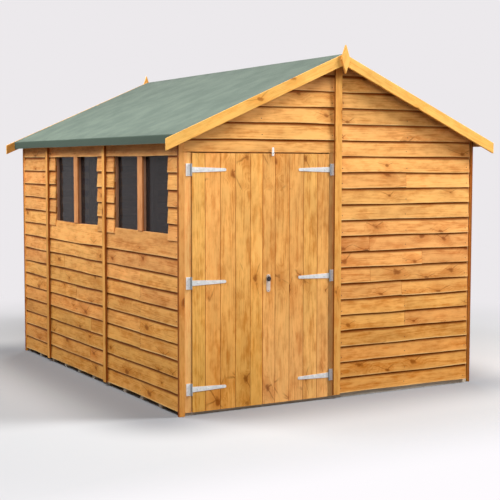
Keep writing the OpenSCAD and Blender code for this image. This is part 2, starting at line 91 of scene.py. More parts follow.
class NodeKit:
    """Adds nodes to a tree and feeds their inputs with sockets or plain values."""

    def __init__(self, tree: bpy.types.NodeTree) -> None:
        """Keep the tree that the nodes go into."""
        self.tree = tree

    def add(self, kind: str, inputs: dict | None = None, **settings: object) -> bpy.types.Node:
        """Add a node.

        Args:
            kind: Blender's type name of the node.
            inputs: Values or sockets by input name or index.
            settings: Properties of the node.

        Returns:
            The new node.
        """
        node = self.tree.nodes.new(kind)
        for name, value in settings.items():
            setattr(node, name, value)
        for key, value in (inputs or {}).items():
            self.feed(node.inputs[key], value)
        return node

    def feed(self, socket: Socket, value: object) -> None:
        """Link a socket to an input, or set the input's own value.

        Args:
            socket: The input.
            value: The socket that feeds it, or its plain value.
        """
        if isinstance(value, Socket):
            self.tree.links.new(value, socket)
        elif socket.type == "RGBA" and len(value) == 3:
            socket.default_value = (*value, 1.0)
        else:
            socket.default_value = value

    def math(self, operation: str, *values: object) -> Socket:
        """Return the result of a Math node on the given values."""
        return self.add("ShaderNodeMath", dict(enumerate(values)), operation=operation).outputs[0]

    def plus(self, first: object, second: object) -> Socket:
        """Return the sum of two values."""
        return self.math("ADD", first, second)

    def minus(self, first: object, second: object) -> Socket:
        """Return the first value less the second."""
        return self.math("SUBTRACT", first, second)

    def times(self, first: object, second: object) -> Socket:
        """Return the product of two values."""
        return self.math("MULTIPLY", first, second)

    def over(self, first: object, second: object) -> Socket:
        """Return the first value divided by the second."""
        return self.math("DIVIDE", first, second)

    def vector(self, operation: str, *values: object) -> Socket:
        """Return the vector result of a Vector Math node on the given values."""
        inputs = dict(enumerate(values))
        return self.add("ShaderNodeVectorMath", inputs, operation=operation).outputs[0]

    def scaled(self, vector: object, factor: object) -> Socket:
        """Return a vector times a number."""
        values = {0: vector, "Scale": factor}
        return self.add("ShaderNodeVectorMath", values, operation="SCALE").outputs[0]

    def length(self, vector: object) -> Socket:
        """Return the length of a vector."""
        return self.add("ShaderNodeVectorMath", {0: vector}, operation="LENGTH").outputs["Value"]

    def combine(self, x: object = 0.0, y: object = 0.0, z: object = 0.0) -> Socket:
        """Return a vector made of three values."""
        return self.add("ShaderNodeCombineXYZ", {0: x, 1: y, 2: z}).outputs[0]

    def split(self, vector: object) -> Sequence[Socket]:
        """Return the three values of a vector."""
        return self.add("ShaderNodeSeparateXYZ", {0: vector}).outputs

    def noise(self, vector: object, scale: float, detail: float = 2.0, rough: float = 0.5,
              output: str = "Fac") -> Socket:
        """Return one output of a Noise Texture over a vector."""
        values = {"Vector": vector, "Scale": scale, "Detail": detail, "Roughness": rough}
        return self.add("ShaderNodeTexNoise", values).outputs[output]

    def streaks(self, vector: object, stretch: Point, *settings: float,
                output: str = "Fac") -> Socket:
        """Return a noise that has a scale of its own along each axis."""
        return self.noise(self.vector("MULTIPLY", vector, stretch), 1.0, *settings, output=output)

    def span(self, value: object, low: float, high: float, to_low: float = 0.0,
             to_high: float = 1.0, smooth: bool = True) -> Socket:
        """Map a value from one range to another and clamp it.

        Args:
            value: What is mapped.
            low: Start of the source range.
            high: End of the source range.
            to_low: Result at the start.
            to_high: Result at the end.
            smooth: Ease in and out instead of a straight line.

        Returns:
            The mapped value.
        """
        style = "SMOOTHSTEP" if smooth else "LINEAR"
        values = {0: value, 1: low, 2: high, 3: to_low, 4: to_high}
        return self.add("ShaderNodeMapRange", values, interpolation_type=style).outputs[0]

    def fade(self, value: object, low: float, high: float) -> Socket:
        """Return 1 below a range of a value, 0 above it and a smooth step between."""
        return self.span(value, low, high, 1.0, 0.0)

    def pick(self, draw: object, low: float, high: float) -> Socket:
        """Turn a number from 0 to 1 into one between two limits."""
        return self.span(draw, 0.0, 1.0, low, high, smooth=False)


class ShaderKit(NodeKit):
    """A material's tree with its Principled shader and the helpers that finishes use."""

    def __init__(self, name: str) -> None:
        """Make an empty material with a Principled shader.

        Args:
            name: Name of the material.
        """
        self.material = bpy.data.materials.new(name)
        self.material.use_nodes = True
        super().__init__(self.material.node_tree)
        self.tree.nodes.clear()
        self.shader = self.add("ShaderNodeBsdfPrincipled")
        self.output = self.add("ShaderNodeOutputMaterial", {"Surface": self.shader.outputs[0]})

    def attribute(self, name: str, output: str = "Fac") -> Socket:
        """Return one output of an attribute of the mesh."""
        return self.add("ShaderNodeAttribute", attribute_name=name).outputs[output]

    def place(self) -> Socket:
        """Return the Object coordinates."""
        return self.add("ShaderNodeTexCoord").outputs["Object"]

    def mix(self, share: object, first: object, second: object) -> Socket:
        """Return two colours mixed by a share."""
        values = {0: share, 6: first, 7: second}
        return self.add("ShaderNodeMix", values, data_type="RGBA").outputs[2]

    def ramp(self, value: object, stops: Sequence[Span]) -> Socket:
        """Turn a value into a grey by a ramp.

        Args:
            value: What is turned.
            stops: Places on the ramp and their levels.

        Returns:
            The grey.
        """
        node = self.add("ShaderNodeValToRGB", {0: value})
        marks = node.color_ramp.elements
        while len(marks) < len(stops):
            marks.new(0.5)
        for mark, (position, level) in zip(marks, stops):
            mark.position = position
            mark.color = (level, level, level, 1.0)
        return node.outputs[0]

    def hue(self, colour: object, hue: object, saturation: object, value: object) -> Socket:
        """Return a colour with its hue, saturation and value shifted."""
        values = {"Color": colour, "Hue": hue, "Saturation": saturation, "Value": value}
        return self.add("ShaderNodeHueSaturation", values).outputs[0]

    def bump(self, height: object, strength: float, distance: float) -> None:
        """Give the shader a bump of a height in metres."""
        values = {"Height": height, "Strength": strength, "Distance": distance}
        self.feed(self.shader.inputs["Normal"], self.add("ShaderNodeBump", values).outputs[0])

    def set(self, **values: object) -> Material:
        """Set inputs of the shader.

        Args:
            values: Values or sockets by input name, with underscores for spaces.

        Returns:
            The material.
        """
        for name, value in values.items():
            self.feed(self.shader.inputs[name.replace("_", " ")], value)
        return self.material


class Finish:
    """A surface finish that makes its material once."""

    name: str

    def material(self) -> Material:
        """Return the finish's material, made on the first call."""
        return bpy.data.materials.get(self.name) or self.build(ShaderKit(self.name))

    def build(self, kit: ShaderKit) -> Material:
        """Fill the material's tree."""
        raise NotImplementedError


@dataclass(frozen=True)
class Wood(Finish):
    """Softwood that follows the grain and tone attributes of each board.

    The shade is painted shade along a lap or a joint: it sets in over two places across the
    board. The edge is painted shade on narrow sides, the inner painted shade on sides which face
    the middle of the shed, the foot shade a painted darker foot of the wall, or a painted paler one
    below 0, and the lip a painted highlight along the lower edge. The whorl is the distance between
    the places along a board where its knots sit, or 0 for knots all along. The capitals are what all
    the softwood shares: how its noises run along, through and across a board, the levels over one
    growth ring, its knots, and the factors that turn a board's tone into further draws.
    """

    TREE_STEP: ClassVar[Point] = (53.0, 17.0, 31.0)
    DRIFT: ClassVar[Point] = (1.1, 3.0, 3.0)
    FIBRE: ClassVar[Point] = (6.0, 240.0, 240.0)
    BAND: ClassVar[Point] = (1.6, 9.0, 17.0)
    FIGURE: ClassVar[Point] = (11.0, 30.0, 30.0)
    PATCH: ClassVar[Point] = (3.0, 6.0, 9.0)
    RING: ClassVar[tuple[Span, ...]] = ((0.0, 0.12), (0.45, 0.22), (0.86, 1.0), (1.0, 0.15))
    KNOT_CELLS: ClassVar[float] = 6.2
    KNOT_SLANT: ClassVar[Span] = (0.62, 0.35)
    KNOT_SIZES: ClassVar[Span] = (0.05, 0.15)
    HEART_DRAWS: ClassVar[tuple[float, ...]] = (7.13, 5.3, 13.7)
    HUE_DRAW: ClassVar[float] = 3.71
    LIP_HIGHLIGHT_DRAW: ClassVar[float] = 4.3
    SHADE_DRAW: ClassVar[float] = 9.7
    HUES: ClassVar[Span] = (0.494, 0.504)
    FOOT: ClassVar[Span] = (0.12, 1.1)

    name: str
    early: Rgb
    late: Rgb
    knot: Rgb
    knots: float = 0.5
    whorl: float = 0.0
    ring_gap: float = 0.007
    tone_spread: float = 0.16
    roughness: float = 0.58
    shade: float = 0.0
    shade_span: Span = (0.0, 1.0)
    shade_both: bool = False
    shade_spread: float = 0.15
    edge: float = 0.0
    inner: float = 0.0
    painted_shade_tone: Rgb = linear(130, 58, 0)
    foot_shade: float = 0.0
    lip_highlight: float = 0.0
    lip_highlight_span: Span = (-0.064, -0.072)
    lip_highlight_tone: Rgb = linear(255, 216, 146)

    def build(self, kit: ShaderKit) -> Material:
        """Fill the tree with growth rings, streaks, bands and knots.

        Args:
            kit: The material's tree.

        Returns:
            The material.
        """
        grain, tone = kit.attribute("grain", "Vector"), kit.attribute("tone")
        along, _, across = kit.split(grain)
        place = kit.vector("ADD", grain, kit.scaled(self.TREE_STEP, tone))

        def draw(factor: float) -> Socket:
            """Return another number from 0 to 1 for each board."""
            return kit.math("FRACT", kit.times(tone, factor))

        knot, halo, rays = self.knot_masks(kit, place, along)
        drift = kit.streaks(place, self.DRIFT, output="Color")
        heart = self.heart(kit, grain, drift, [draw(factor) for factor in self.HEART_DRAWS])
        fibre = kit.streaks(place, self.FIBRE, 3.0, 0.6)
        band = kit.streaks(place, self.BAND, 2.0, 0.55)
        figure = kit.streaks(place, self.FIGURE, 3.0, 0.6)
        patch = kit.streaks(place, self.PATCH, 3.0, 0.6)
        bent = kit.plus(kit.times(halo, 2.2), kit.times(fibre, 0.8))
        phase = kit.plus(kit.over(heart, self.ring_gap), bent)
        ring = kit.ramp(kit.math("FRACT", phase), self.RING)
        share = kit.plus(kit.span(band, 0.32, 0.7, -0.14, 0.26),
                         kit.span(figure, 0.3, 0.72, -0.16, 0.34))
        share = kit.plus(kit.span(fibre, 0.3, 0.75, -0.08, 0.3), share)
        share = kit.plus(kit.times(ring, 0.4), share)
        colour = kit.mix(kit.span(share, 0.0, 1.1), self.early, self.late)
        masks = ((halo, 0.6, self.late), (rays, 0.6, self.knot), (knot, 0.78, self.knot))
        for mask, depth, tint in masks:
            colour = kit.mix(kit.times(mask, depth), colour, tint)
        value = kit.pick(draw(1.0), 1 - self.tone_spread, 1 + self.tone_spread * 0.55)
        value = kit.times(value, kit.span(patch, 0.25, 0.75, 0.88, 1.09))
        rich: object = 1.0
        # Painted shade: the wood darkens and reddens towards the foot, or turns paler there below 0.
        if self.foot_shade:
            height = kit.split(kit.place())[2]
            foot_level, top_level = 1 - self.foot_shade, 1 + self.foot_shade * 0.3
            value = kit.times(value, kit.span(height, *self.FOOT, foot_level, top_level))
            rich = kit.span(height, *self.FOOT, 1 + self.foot_shade * 0.28, 1.0)
        colour = kit.hue(colour, kit.pick(draw(self.HUE_DRAW), *self.HUES), rich, value)
        # Painted highlight along the lower edge of each board.
        if self.lip_highlight:
            depth = kit.span(draw(self.LIP_HIGHLIGHT_DRAW), 0.0, 1.0, 0.2, self.lip_highlight)
            graded = kit.times(kit.span(across, *self.lip_highlight_span), depth)
            graded = kit.times(graded, kit.span(patch, 0.35, 0.6, 0.3, 1.0))
            colour = kit.mix(graded, colour, self.lip_highlight_tone)
        # Painted shade along the lap or the joint, in a dark brown.
        if self.shade:
            colour = kit.mix(self.painted_shade_share(kit, across, draw(self.SHADE_DRAW)), colour, self.painted_shade_tone)
        # Painted shade on narrow sides and on sides that face the middle of the shed.
        for mark, depth in (("edge", self.edge), ("inner", self.inner)):
            if depth:
                colour = kit.mix(kit.times(kit.attribute(mark), depth), colour, self.painted_shade_tone)
        kit.bump(kit.plus(fibre, kit.times(ring, 0.5)), 0.35, 0.0009)
        gloss = (self.roughness - 0.07, self.roughness + 0.1)
        rough = kit.span(fibre, 0.2, 0.8, *gloss, smooth=False)
        return kit.set(Base_Color=colour, Roughness=rough, Specular_IOR_Level=0.08)

    def knot_masks(self, kit: ShaderKit, place: Socket, along: Socket) -> tuple[Socket, ...]:
        """Make the masks of the knots and of the grain that they disturb.

        Args:
            kit: The material's tree.
            place: Where the wood is in its tree.
            along: The place along the board from its middle.

        Returns:
            The masks of the knots, of the bent grain round them and of their slanting rays.
        """
        x, _, z = kit.split(place)
        sway = kit.noise(place, 22.0)
        slant_x, slant_z = self.KNOT_SLANT
        flat = kit.combine(kit.plus(kit.times(x, slant_x), kit.times(z, slant_z)), z)
        values = {"Vector": flat, "Scale": self.KNOT_CELLS, "Randomness": 0.95}
        cells = kit.add("ShaderNodeTexVoronoi", values, voronoi_dimensions="2D").outputs
        chance, size, _ = kit.split(cells["Color"])
        present = kit.math("GREATER_THAN", chance, 1 - self.knots)
        if self.whorl:
            turn = kit.math("COSINE", kit.times(along, math.tau / self.whorl))
            present = kit.times(present, kit.span(turn, 0.4, 0.75))
        reach = kit.over(cells["Distance"], kit.pick(size, *self.KNOT_SIZES))
        reach = kit.plus(reach, kit.span(sway, 0.2, 0.8, -0.7, 0.7, smooth=False))
        core = kit.times(kit.fade(reach, 0.25, 1.1), present)
        halo = kit.times(kit.fade(reach, 0.7, 4.2), present)
        off_x, off_z, _ = kit.split(kit.vector("SUBTRACT", flat, cells["Position"]))
        lean = kit.times(off_z, kit.span(chance, 0.0, 1.0, -1.4, 2.2))
        tilt = kit.minus(kit.math("ABSOLUTE", off_x), lean)
        tilt = kit.plus(tilt, kit.span(sway, 0.2, 0.8, -0.006, 0.006, smooth=False))
        width = kit.span(reach, 0.0, 6.0, 0.003, 0.009, smooth=False)
        rays = kit.fade(kit.over(kit.math("ABSOLUTE", tilt), width), 0.1, 1.5)
        rays = kit.times(rays, kit.fade(reach, 1.5, 5.5))
        return core, halo, kit.times(rays, present)

    @staticmethod
    def heart(kit: ShaderKit, grain: Socket, drift: Socket, draws: Sequence[Socket]) -> Socket:
        """Measure how far the wood is from its tree's heart, which wanders along each board.

        Args:
            kit: The material's tree.
            grain: The place on the board.
            drift: A slow noise along the board.
            draws: Three draws that place the heart.

        Returns:
            The distance.
        """
        along, through, across = kit.split(grain)
        wander_a, wander_b, _ = kit.split(drift)
        offset = kit.plus(kit.times(kit.minus(draws[0], 0.5), 0.13), kit.times(wander_a, 0.045))
        tilt = kit.times(along, kit.times(kit.minus(draws[1], 0.5), 0.05))
        depth = kit.plus(kit.plus(kit.times(draws[2], 0.05), tilt), kit.times(wander_b, 0.03))
        ring_y = kit.plus(through, kit.plus(depth, 0.01))
        return kit.length(kit.combine(0.0, ring_y, kit.plus(across, offset)))

    def painted_shade_share(self, kit: ShaderKit, across: Socket, draw: Socket) -> Socket:
        """Measure the share of painted shade near a board's lap or joint.

        Args:
            kit: The material's tree.
            across: The place across the board.
            draw: A draw that varies the painted shade.

        Returns:
            The share of the painted shade.
        """
        if self.shade_both:
            across = kit.math("ABSOLUTE", across)
        amount = kit.times(kit.span(across, *self.shade_span), kit.attribute("lap"))
        return kit.times(amount, kit.pick(draw, self.shade * (1 - self.shade_spread), self.shade))


@dataclass(frozen=True)
class StrandBoard(Finish):
    """Pressed sheet of wood strands that lie in all directions.

    The layers are the turn of each layer of strands and the share of it that shows.
    """

    name: str
    pale: Rgb
    dark: Rgb
    layers: tuple[Span, ...] = ((0.5, 1.0), (2.1, 0.5), (1.3, 0.45))
    strand: Point = (13.0, 55.0, 13.0)

    def build(self, kit: ShaderKit) -> Material:
        """Fill the tree with layers of long cells at an angle to each other.

        Args:
            kit: The material's tree.

        Returns:
            The material.
        """
        place = kit.place()
        colour: object = self.pale
        for turn, keep in self.layers:
            turned = kit.add("ShaderNodeVectorRotate", {"Vector": place, "Angle": turn},
                             rotation_type="Z_AXIS")
            long = kit.vector("MULTIPLY", turned.outputs[0], self.strand)
            cells = kit.add("ShaderNodeTexVoronoi", {"Vector": long, "Scale": 1.0})
            pick, level, _ = kit.split(cells.outputs["Color"])
            strand = kit.mix(level, self.pale, self.dark)
            colour = kit.mix(kit.math("LESS_THAN", pick, keep), colour, strand)
        fibre = kit.streaks(place, (70.0, 70.0, 70.0), 3.0)
        colour = kit.hue(colour, 0.5, 1.0, kit.span(fibre, 0.2, 0.8, 0.88, 1.1))
        kit.bump(fibre, 0.3, 0.0008)
        return kit.set(Base_Color=colour, Roughness=0.72)


@dataclass(frozen=True)
class MineralFelt(Finish):
    """Roofing felt faced with fine mineral, darker where it is folded and towards the ridge."""

    name: str
    face: Rgb
    pale: Rgb
    fold: Rgb
    rise: Span = (1.85, 2.38)
    graded: float = 0.9

    def build(self, kit: ShaderKit) -> Material:
        """Fill the tree with grit, mottling and the tone of the fold.

        Args:
            kit: The material's tree.

        Returns:
            The material.
        """
        place = kit.place()
        grit = kit.noise(place, 420.0, 2.0, 0.7)
        patch = kit.noise(place, 5.0, 4.0, 0.6)
        colour = kit.mix(kit.span(patch, 0.3, 0.72), self.face, self.pale)
        colour = kit.mix(kit.attribute("fold"), colour, self.fold)
        graded = kit.span(kit.split(place)[2], *self.rise, 1.0, self.graded)
        value = kit.times(graded, kit.span(grit, 0.25, 0.75, 0.8, 1.2, smooth=False))
        kit.bump(grit, 0.5, 0.0012)
        return kit.set(Base_Color=kit.hue(colour, 0.5, 1.0, value), Roughness=0.9,
                       Specular_IOR_Level=0.25)


@dataclass(frozen=True)
class Glazing(Finish):
    """Clear sheet glazing with faint dust."""

    name: str
    tint: Rgb

    def build(self, kit: ShaderKit) -> Material:
        """Fill the tree with a clear shader whose gloss varies a little."""
        rough = kit.span(kit.noise(kit.place(), 3.5, 3.0), 0.3, 0.75, 0.015, 0.07)
        return kit.set(Base_Color=self.tint, Roughness=rough, IOR=1.13, Transmission_Weight=0.9)


@dataclass(frozen=True)
class Plated(Finish):
    """Plated or painted metal with faint streaks and handling marks.

    It has painted shade at the knuckles, within a reach of the hinge pins.
    """

    name: str
    bright: Rgb
    dull: Rgb
    metallic: float
    roughness: float
    pins: tuple[float, ...] = ()
    knuckle_shade: Rgb = linear(122, 136, 148)
    reach: Span = (0.0045, 0.0075)

    def build(self, kit: ShaderKit) -> Material:
        """Fill the tree with cloudy patches in colour and gloss.

        Args:
            kit: The material's tree.

        Returns:
            The material.
        """
        place = kit.place()
        cloud = kit.noise(place, 38.0, 4.0, 0.65)
        colour = kit.mix(kit.span(cloud, 0.3, 0.72), self.bright, self.dull)
        # Painted shade at the knuckles, near each hinge pin.
        for pin in self.pins:
            away = kit.math("ABSOLUTE", kit.minus(kit.split(place)[0], pin))
            colour = kit.mix(kit.span(away, *self.reach, 0.8, 0.0), colour, self.knuckle_shade)
        rough = kit.span(cloud, 0.25, 0.75, self.roughness - 0.08, self.roughness + 0.1)
        kit.bump(kit.noise(place, 600.0), 0.15, 0.0003)
        return kit.set(Base_Color=colour, Roughness=rough, Metallic=self.metallic)


LAP_PINE = Wood("lap_pine", linear(246, 181, 104), linear(209, 131, 60), linear(144, 78, 26),
                knots=0.38, tone_spread=0.13, shade=0.95, shade_span=(0.011, 0.028), lip_highlight=0.6,
                foot_shade=0.16)
DOOR_PINE = Wood("door_pine", linear(254, 191, 105), linear(215, 137, 57), linear(142, 76, 24),
                 knots=0.75, whorl=0.72, tone_spread=0.08, shade=0.34,
                 shade_span=(0.0505, 0.0553), shade_both=True, shade_spread=0.8, foot_shade=0.12)
# Painted light: the right door is paler towards its foot.
RIGHT_DOOR_PINE = replace(DOOR_PINE, name="right_door_pine", foot_shade=-0.1)
STRIP_PINE = Wood("strip_pine", linear(251, 186, 96), linear(222, 140, 56), linear(150, 84, 30),
                  knots=0.2, tone_spread=0.08, edge=0.8)
CORNER_PINE = Wood("corner_pine", linear(244, 180, 98), linear(208, 132, 56), linear(140, 76, 26),
                   knots=0.24, tone_spread=0.08, edge=0.85, foot_shade=0.1)
POST_PINE = Wood("post_pine", linear(255, 198, 119), linear(238, 152, 78), linear(150, 84, 30),
                 knots=0.14, tone_spread=0.2, edge=0.7)
SASH_PINE = Wood("sash_pine", linear(230, 164, 104), linear(196, 120, 64), linear(130, 70, 34),
                 knots=0.15, tone_spread=0.06, edge=0.5)
# The dark, greyish bead colours are painted shade in the window recess.
BEAD_PINE = Wood("bead_pine", linear(170, 126, 96), linear(134, 92, 66), linear(96, 58, 36),
                 knots=0.1, tone_spread=0.06, edge=0.3)
BEARER_PINE = Wood("bearer_pine", linear(236, 224, 206), linear(212, 194, 170),
                   linear(130, 96, 66), knots=0.2, roughness=0.72)
TRIM_PINE = Wood("trim_pine", linear(252, 196, 102), linear(234, 163, 72), linear(160, 96, 34),
                 knots=0.18, tone_spread=0.05, inner=0.6)
SAWN_PINE = Wood("sawn_pine", linear(226, 186, 130), linear(192, 138, 80), linear(110, 66, 34),
                 knots=0.4, roughness=0.72)
STRANDS = StrandBoard("strand_board", linear(214, 176, 122), linear(150, 104, 58))
FELT = MineralFelt("mineral_felt", linear(92, 106, 95), linear(107, 121, 108), linear(70, 85, 74))
GLASS = Glazing("clear_glazing", (0.2, 0.175, 0.175))
HINGE_PINS = (-1.1275, -0.0575)
ZINC = Plated("zinc_plate", linear(238, 237, 234), linear(210, 210, 209), 0.2, 0.4, HINGE_PINS)
PLATE_ZINC = Plated("zinc_hinge_plate", linear(253, 253, 251), linear(236, 236, 235), 0.1, 0.4,
                    HINGE_PINS)
NAIL = Plated("nail_brown", linear(122, 72, 34), linear(98, 56, 26), 0.2, 0.55)
STEEL = Plated("dull_steel", linear(120, 112, 104), linear(86, 76, 66), 0.7, 0.5)
LOCK_PLATE = Plated("lock_plate", linear(222, 205, 190), linear(190, 172, 158), 0.5, 0.38)
BLACK = Plated("black_knob", linear(26, 20, 22), linear(40, 26, 26), 0.0, 0.22)
WHITE = Plated("white_button", linear(252, 251, 247), linear(240, 238, 233), 0.0, 0.4)


class GeometryTree(NodeKit):
    """A Geometry Nodes tree with named inputs, and the way to run it to a plain mesh."""

    def __init__(self, name: str, sockets: dict[str, str]) -> None:
        """Make the tree.

        Args:
            name: Name of the tree.
            sockets: Kind of each named input, as in Blender's names of socket types.
        """
        super().__init__(bpy.data.node_groups.new(name, "GeometryNodeTree"))
        face = self.tree.interface
        for way in ("INPUT", "OUTPUT"):
            face.new_socket("Geometry", in_out=way, socket_type="NodeSocketGeometry")
        self.identifiers = {
            key: face.new_socket(key, in_out="INPUT", socket_type="NodeSocket" + kind).identifier
            for key, kind in sockets.items()}
        self.given = self.add("NodeGroupInput").outputs

    def store(self, geometry: Socket, name: str, value: object, kind: str = "FLOAT",
              domain: str = "POINT") -> Socket:
        """Store a value on a geometry as a named attribute.

        Args:
            geometry: The geometry.
            name: Name of the attribute.
            value: The value or field.
            kind: Blender's name of the data type.
            domain: What carries the attribute.

        Returns:
            The geometry with the attribute.
        """
        values = {"Geometry": geometry, "Name": name, "Value": value}
        node = self.add("GeometryNodeStoreNamedAttribute", values, data_type=kind, domain=domain)
        return node.outputs[0]

    def moved(self, geometry: Socket, offset: Socket) -> Socket:
        """Return a geometry with its points moved by an offset."""
        values = {"Geometry": geometry, "Offset": offset}
        return self.add("GeometryNodeSetPosition", values).outputs[0]

    def end(self, geometry: Socket) -> None:
        """Close the tree with Realize Instances and Set Material.

        Args:
            geometry: What the tree has made.
        """
        real = self.add("GeometryNodeRealizeInstances", {0: geometry}).outputs[0]
        dressed = self.add("GeometryNodeSetMaterial", {0: real, "Material": self.given["Finish"]})
        self.add("NodeGroupOutput", {0: dressed.outputs[0]})

    def run(self, base: Mesh, **values: object) -> Mesh:
        """Run the tree on a mesh.

        Args:
            base: The mesh that the modifier sits on.
            values: Value of each named input.

        Returns:
            The plain mesh.
        """
        maker = bpy.data.objects.new("maker", base)
        bpy.context.scene.collection.objects.link(maker)
        modifier = maker.modifiers.new("maker", "NODES")
        modifier.node_group = self.tree
        for name, value in values.items():
            modifier[self.identifiers[name]] = value
        graph = bpy.context.evaluated_depsgraph_get()
        made = maker.evaluated_get(graph)
        mesh = bpy.data.meshes.new_from_object(made, preserve_all_data_layers=True, depsgraph=graph)
        maker.modifiers.clear()
        bpy.data.objects.remove(maker)
        return mesh


class BoardTree(GeometryTree):
    """A row of long boards: X runs along a board, Y out of the wall and Z from board to board.

    The waves are the two ways in which a board bows, out of the wall and up and down: a step that
    tells the boards apart and the share of the bow.
    """

    WAVES: ClassVar[tuple[Span, ...]] = ((57.0, 1.0), (91.0, 4.0))
    WAVE_PACE: ClassVar[float] = 1.4

    def __init__(self) -> None:
        """Build the tree."""
        sizes = ("Length", "Height", "Thickness", "Pitch", "Lean", "Edge", "Bow", "Lap")
        super().__init__("boards_in_a_row", {
            **dict.fromkeys(sizes, "Float"), **dict.fromkeys(("Boards", "Parts", "Seed"), "Int"),
            "Finish": "Material"})
        self.place = self.add("GeometryNodeInputPosition").outputs[0]
        self.end(self.bowed(self.row(self.board())))

    def board(self) -> Socket:
        """Make one leaning board with eased edges that carries its grain and its lap.

        Returns:
            The board.
        """
        length, height, thickness = (self.given[key] for key in ("Length", "Height", "Thickness"))
        line = self.add("GeometryNodeCurvePrimitiveLine", {"End": self.combine(length)})
        rail = self.add("GeometryNodeResampleCurve", {"Curve": line.outputs[0],
                                                      "Count": self.given["Parts"]})
        outline = self.add("GeometryNodeCurvePrimitiveQuadrilateral",
                           {"Width": thickness, "Height": height})
        eased = self.add("GeometryNodeFilletCurve", {
            "Curve": outline.outputs[0], "Radius": self.given["Edge"], "Count": 2}, mode="POLY")
        board = self.add("GeometryNodeCurveToMesh", {
            "Curve": rail.outputs[0], "Profile Curve": eased.outputs[0], "Fill Caps": True})
        middle = self.vector("SUBTRACT", self.place, self.combine(self.times(length, 0.5)))
        marked = self.store(board.outputs[0], "grain", middle, "FLOAT_VECTOR")
        lapped = self.store(marked, "lap", self.given["Lap"])
        half = self.times(height, 0.5)
        drop = self.over(self.minus(half, self.split(self.place)[2]), height)
        out = self.plus(self.times(drop, self.given["Lean"]), self.times(thickness, 0.5))
        return self.moved(lapped, self.combine(0.0, out, half))

    def row(self, board: Socket) -> Socket:
        """Set a board up from course to course, each time with a tone of its own.

        Args:
            board: The board.

        Returns:
            The real boards.
        """
        step = self.combine(0.0, 0.0, self.given["Pitch"])
        stack = self.add("GeometryNodeMeshLine", {"Count": self.given["Boards"], "Offset": step})
        row = self.add("GeometryNodeInstanceOnPoints", {"Points": stack.outputs[0],
                                                        "Instance": board})
        draw = self.add("FunctionNodeRandomValue", {"Seed": self.given["Seed"]}, data_type="FLOAT")
        toned = self.store(row.outputs[0], "tone", draw.outputs["Value"], domain="INSTANCE")
        return self.add("GeometryNodeRealizeInstances", {0: toned}).outputs[0]

    def bowed(self, boards: Socket) -> Socket:
        """Give each board its slight bow.

        Args:
            boards: The straight boards.

        Returns:
            The bowed boards.
        """
        along = self.split(self.place)[0]
        tone = self.add("GeometryNodeInputNamedAttribute", {"Name": "tone"}, data_type="FLOAT")
        waves = []
        for step, share in self.WAVES:
            where = self.plus(self.times(along, self.WAVE_PACE), self.times(tone.outputs[0], step))
            wave = self.add("ShaderNodeTexNoise", {"W": where, "Scale": 1.0, "Detail": 1.0},
                            noise_dimensions="1D")
            swing = self.times(self.minus(wave.outputs[0], 0.5), share)
            waves.append(self.times(swing, self.given["Bow"]))
        return self.moved(boards, self.combine(0.0, *waves))


class HeadTree(GeometryTree):
    """Round heads of nails, screws or bolts, one on each point of a mesh."""

    def __init__(self) -> None:
        """Build the tree from a skirt and a crown that stands on it."""
        super().__init__("fixing_heads", {
            "Radius": "Float", "Rise": "Float", "Sides": "Int", "Facing": "Rotation",
            "Seed": "Int", "Finish": "Material"})
        lift = self.combine(0.0, 0.0, self.times(self.given["Rise"], 0.599))
        crown = self.add("GeometryNodeTransform", {"Geometry": self.cone(0.8, 0.4, 0.4),
                                                   "Translation": lift})
        head = self.add("GeometryNodeJoinGeometry")
        for part in (self.cone(1.0, 0.82, 0.6), crown.outputs[0]):
            self.tree.links.new(part, head.inputs[0])
        draw = self.add("FunctionNodeRandomValue", {"Seed": self.given["Seed"]}, data_type="FLOAT")
        spin = self.combine(0.0, 0.0, self.times(draw.outputs["Value"], math.tau))
        turn = self.add("FunctionNodeEulerToRotation", {0: spin})
        facing = self.add("FunctionNodeRotateRotation", {
            "Rotation": self.given["Facing"], "Rotate By": turn.outputs[0]}, rotation_space="LOCAL")
        placed = self.add("GeometryNodeInstanceOnPoints", {
            "Points": self.given["Geometry"], "Instance": head.outputs[0],
            "Rotation": facing.outputs[0]})
        self.end(placed.outputs[0])

    def cone(self, bottom: float, top: float, depth: float) -> Socket:
        """Return a blunt cone, its radii and depth as shares of the head's."""
        radius = self.given["Radius"]
        return self.add("GeometryNodeMeshCone", {
            "Vertices": self.given["Sides"], "Radius Bottom": self.times(radius, bottom),
            "Radius Top": self.times(radius, top),
            "Depth": self.times(self.given["Rise"], depth)}).outputs[0]


def show(name: str, mesh: Mesh, body: Body, nodes: Iterable[str] = ()) -> None:
    """Put a finished mesh into the scene as a piece.

    Args:
        name: Name of the piece.
        mesh: Its mesh, in the shared frame.
        body: The body that it rides on.
        nodes: The solids that it stands for.
    """
    mesh.name = name
    piece = bpy.data.objects.new(name, mesh)
    bpy.context.scene.collection.objects.link(piece)
    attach(piece, body.value)
    if nodes:
        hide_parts(*nodes)
    LOG.info("%s: %d faces on %s", name, len(mesh.polygons), body.value)


def finished(work: Work, name: str, finishes: Iterable[Finish], sharp: float) -> Mesh:
    """Turn a worked mesh into a smooth one in its finishes.

    Args:
        work: The worked mesh, which is freed.
        name: Name of the new mesh.
        finishes: Its finishes, in the order of the faces' material indices.
        sharp: The angle from which an edge stays sharp, in degrees.

    Returns:
        The new mesh.
    """
    mesh = bpy.data.meshes.new(name)
    work.to_mesh(mesh)
    work.free()
    for finish in finishes:
        mesh.materials.append(finish.material())
    mesh.shade_smooth()
    mesh.set_sharp_from_angle(angle=math.radians(sharp))
    return mesh


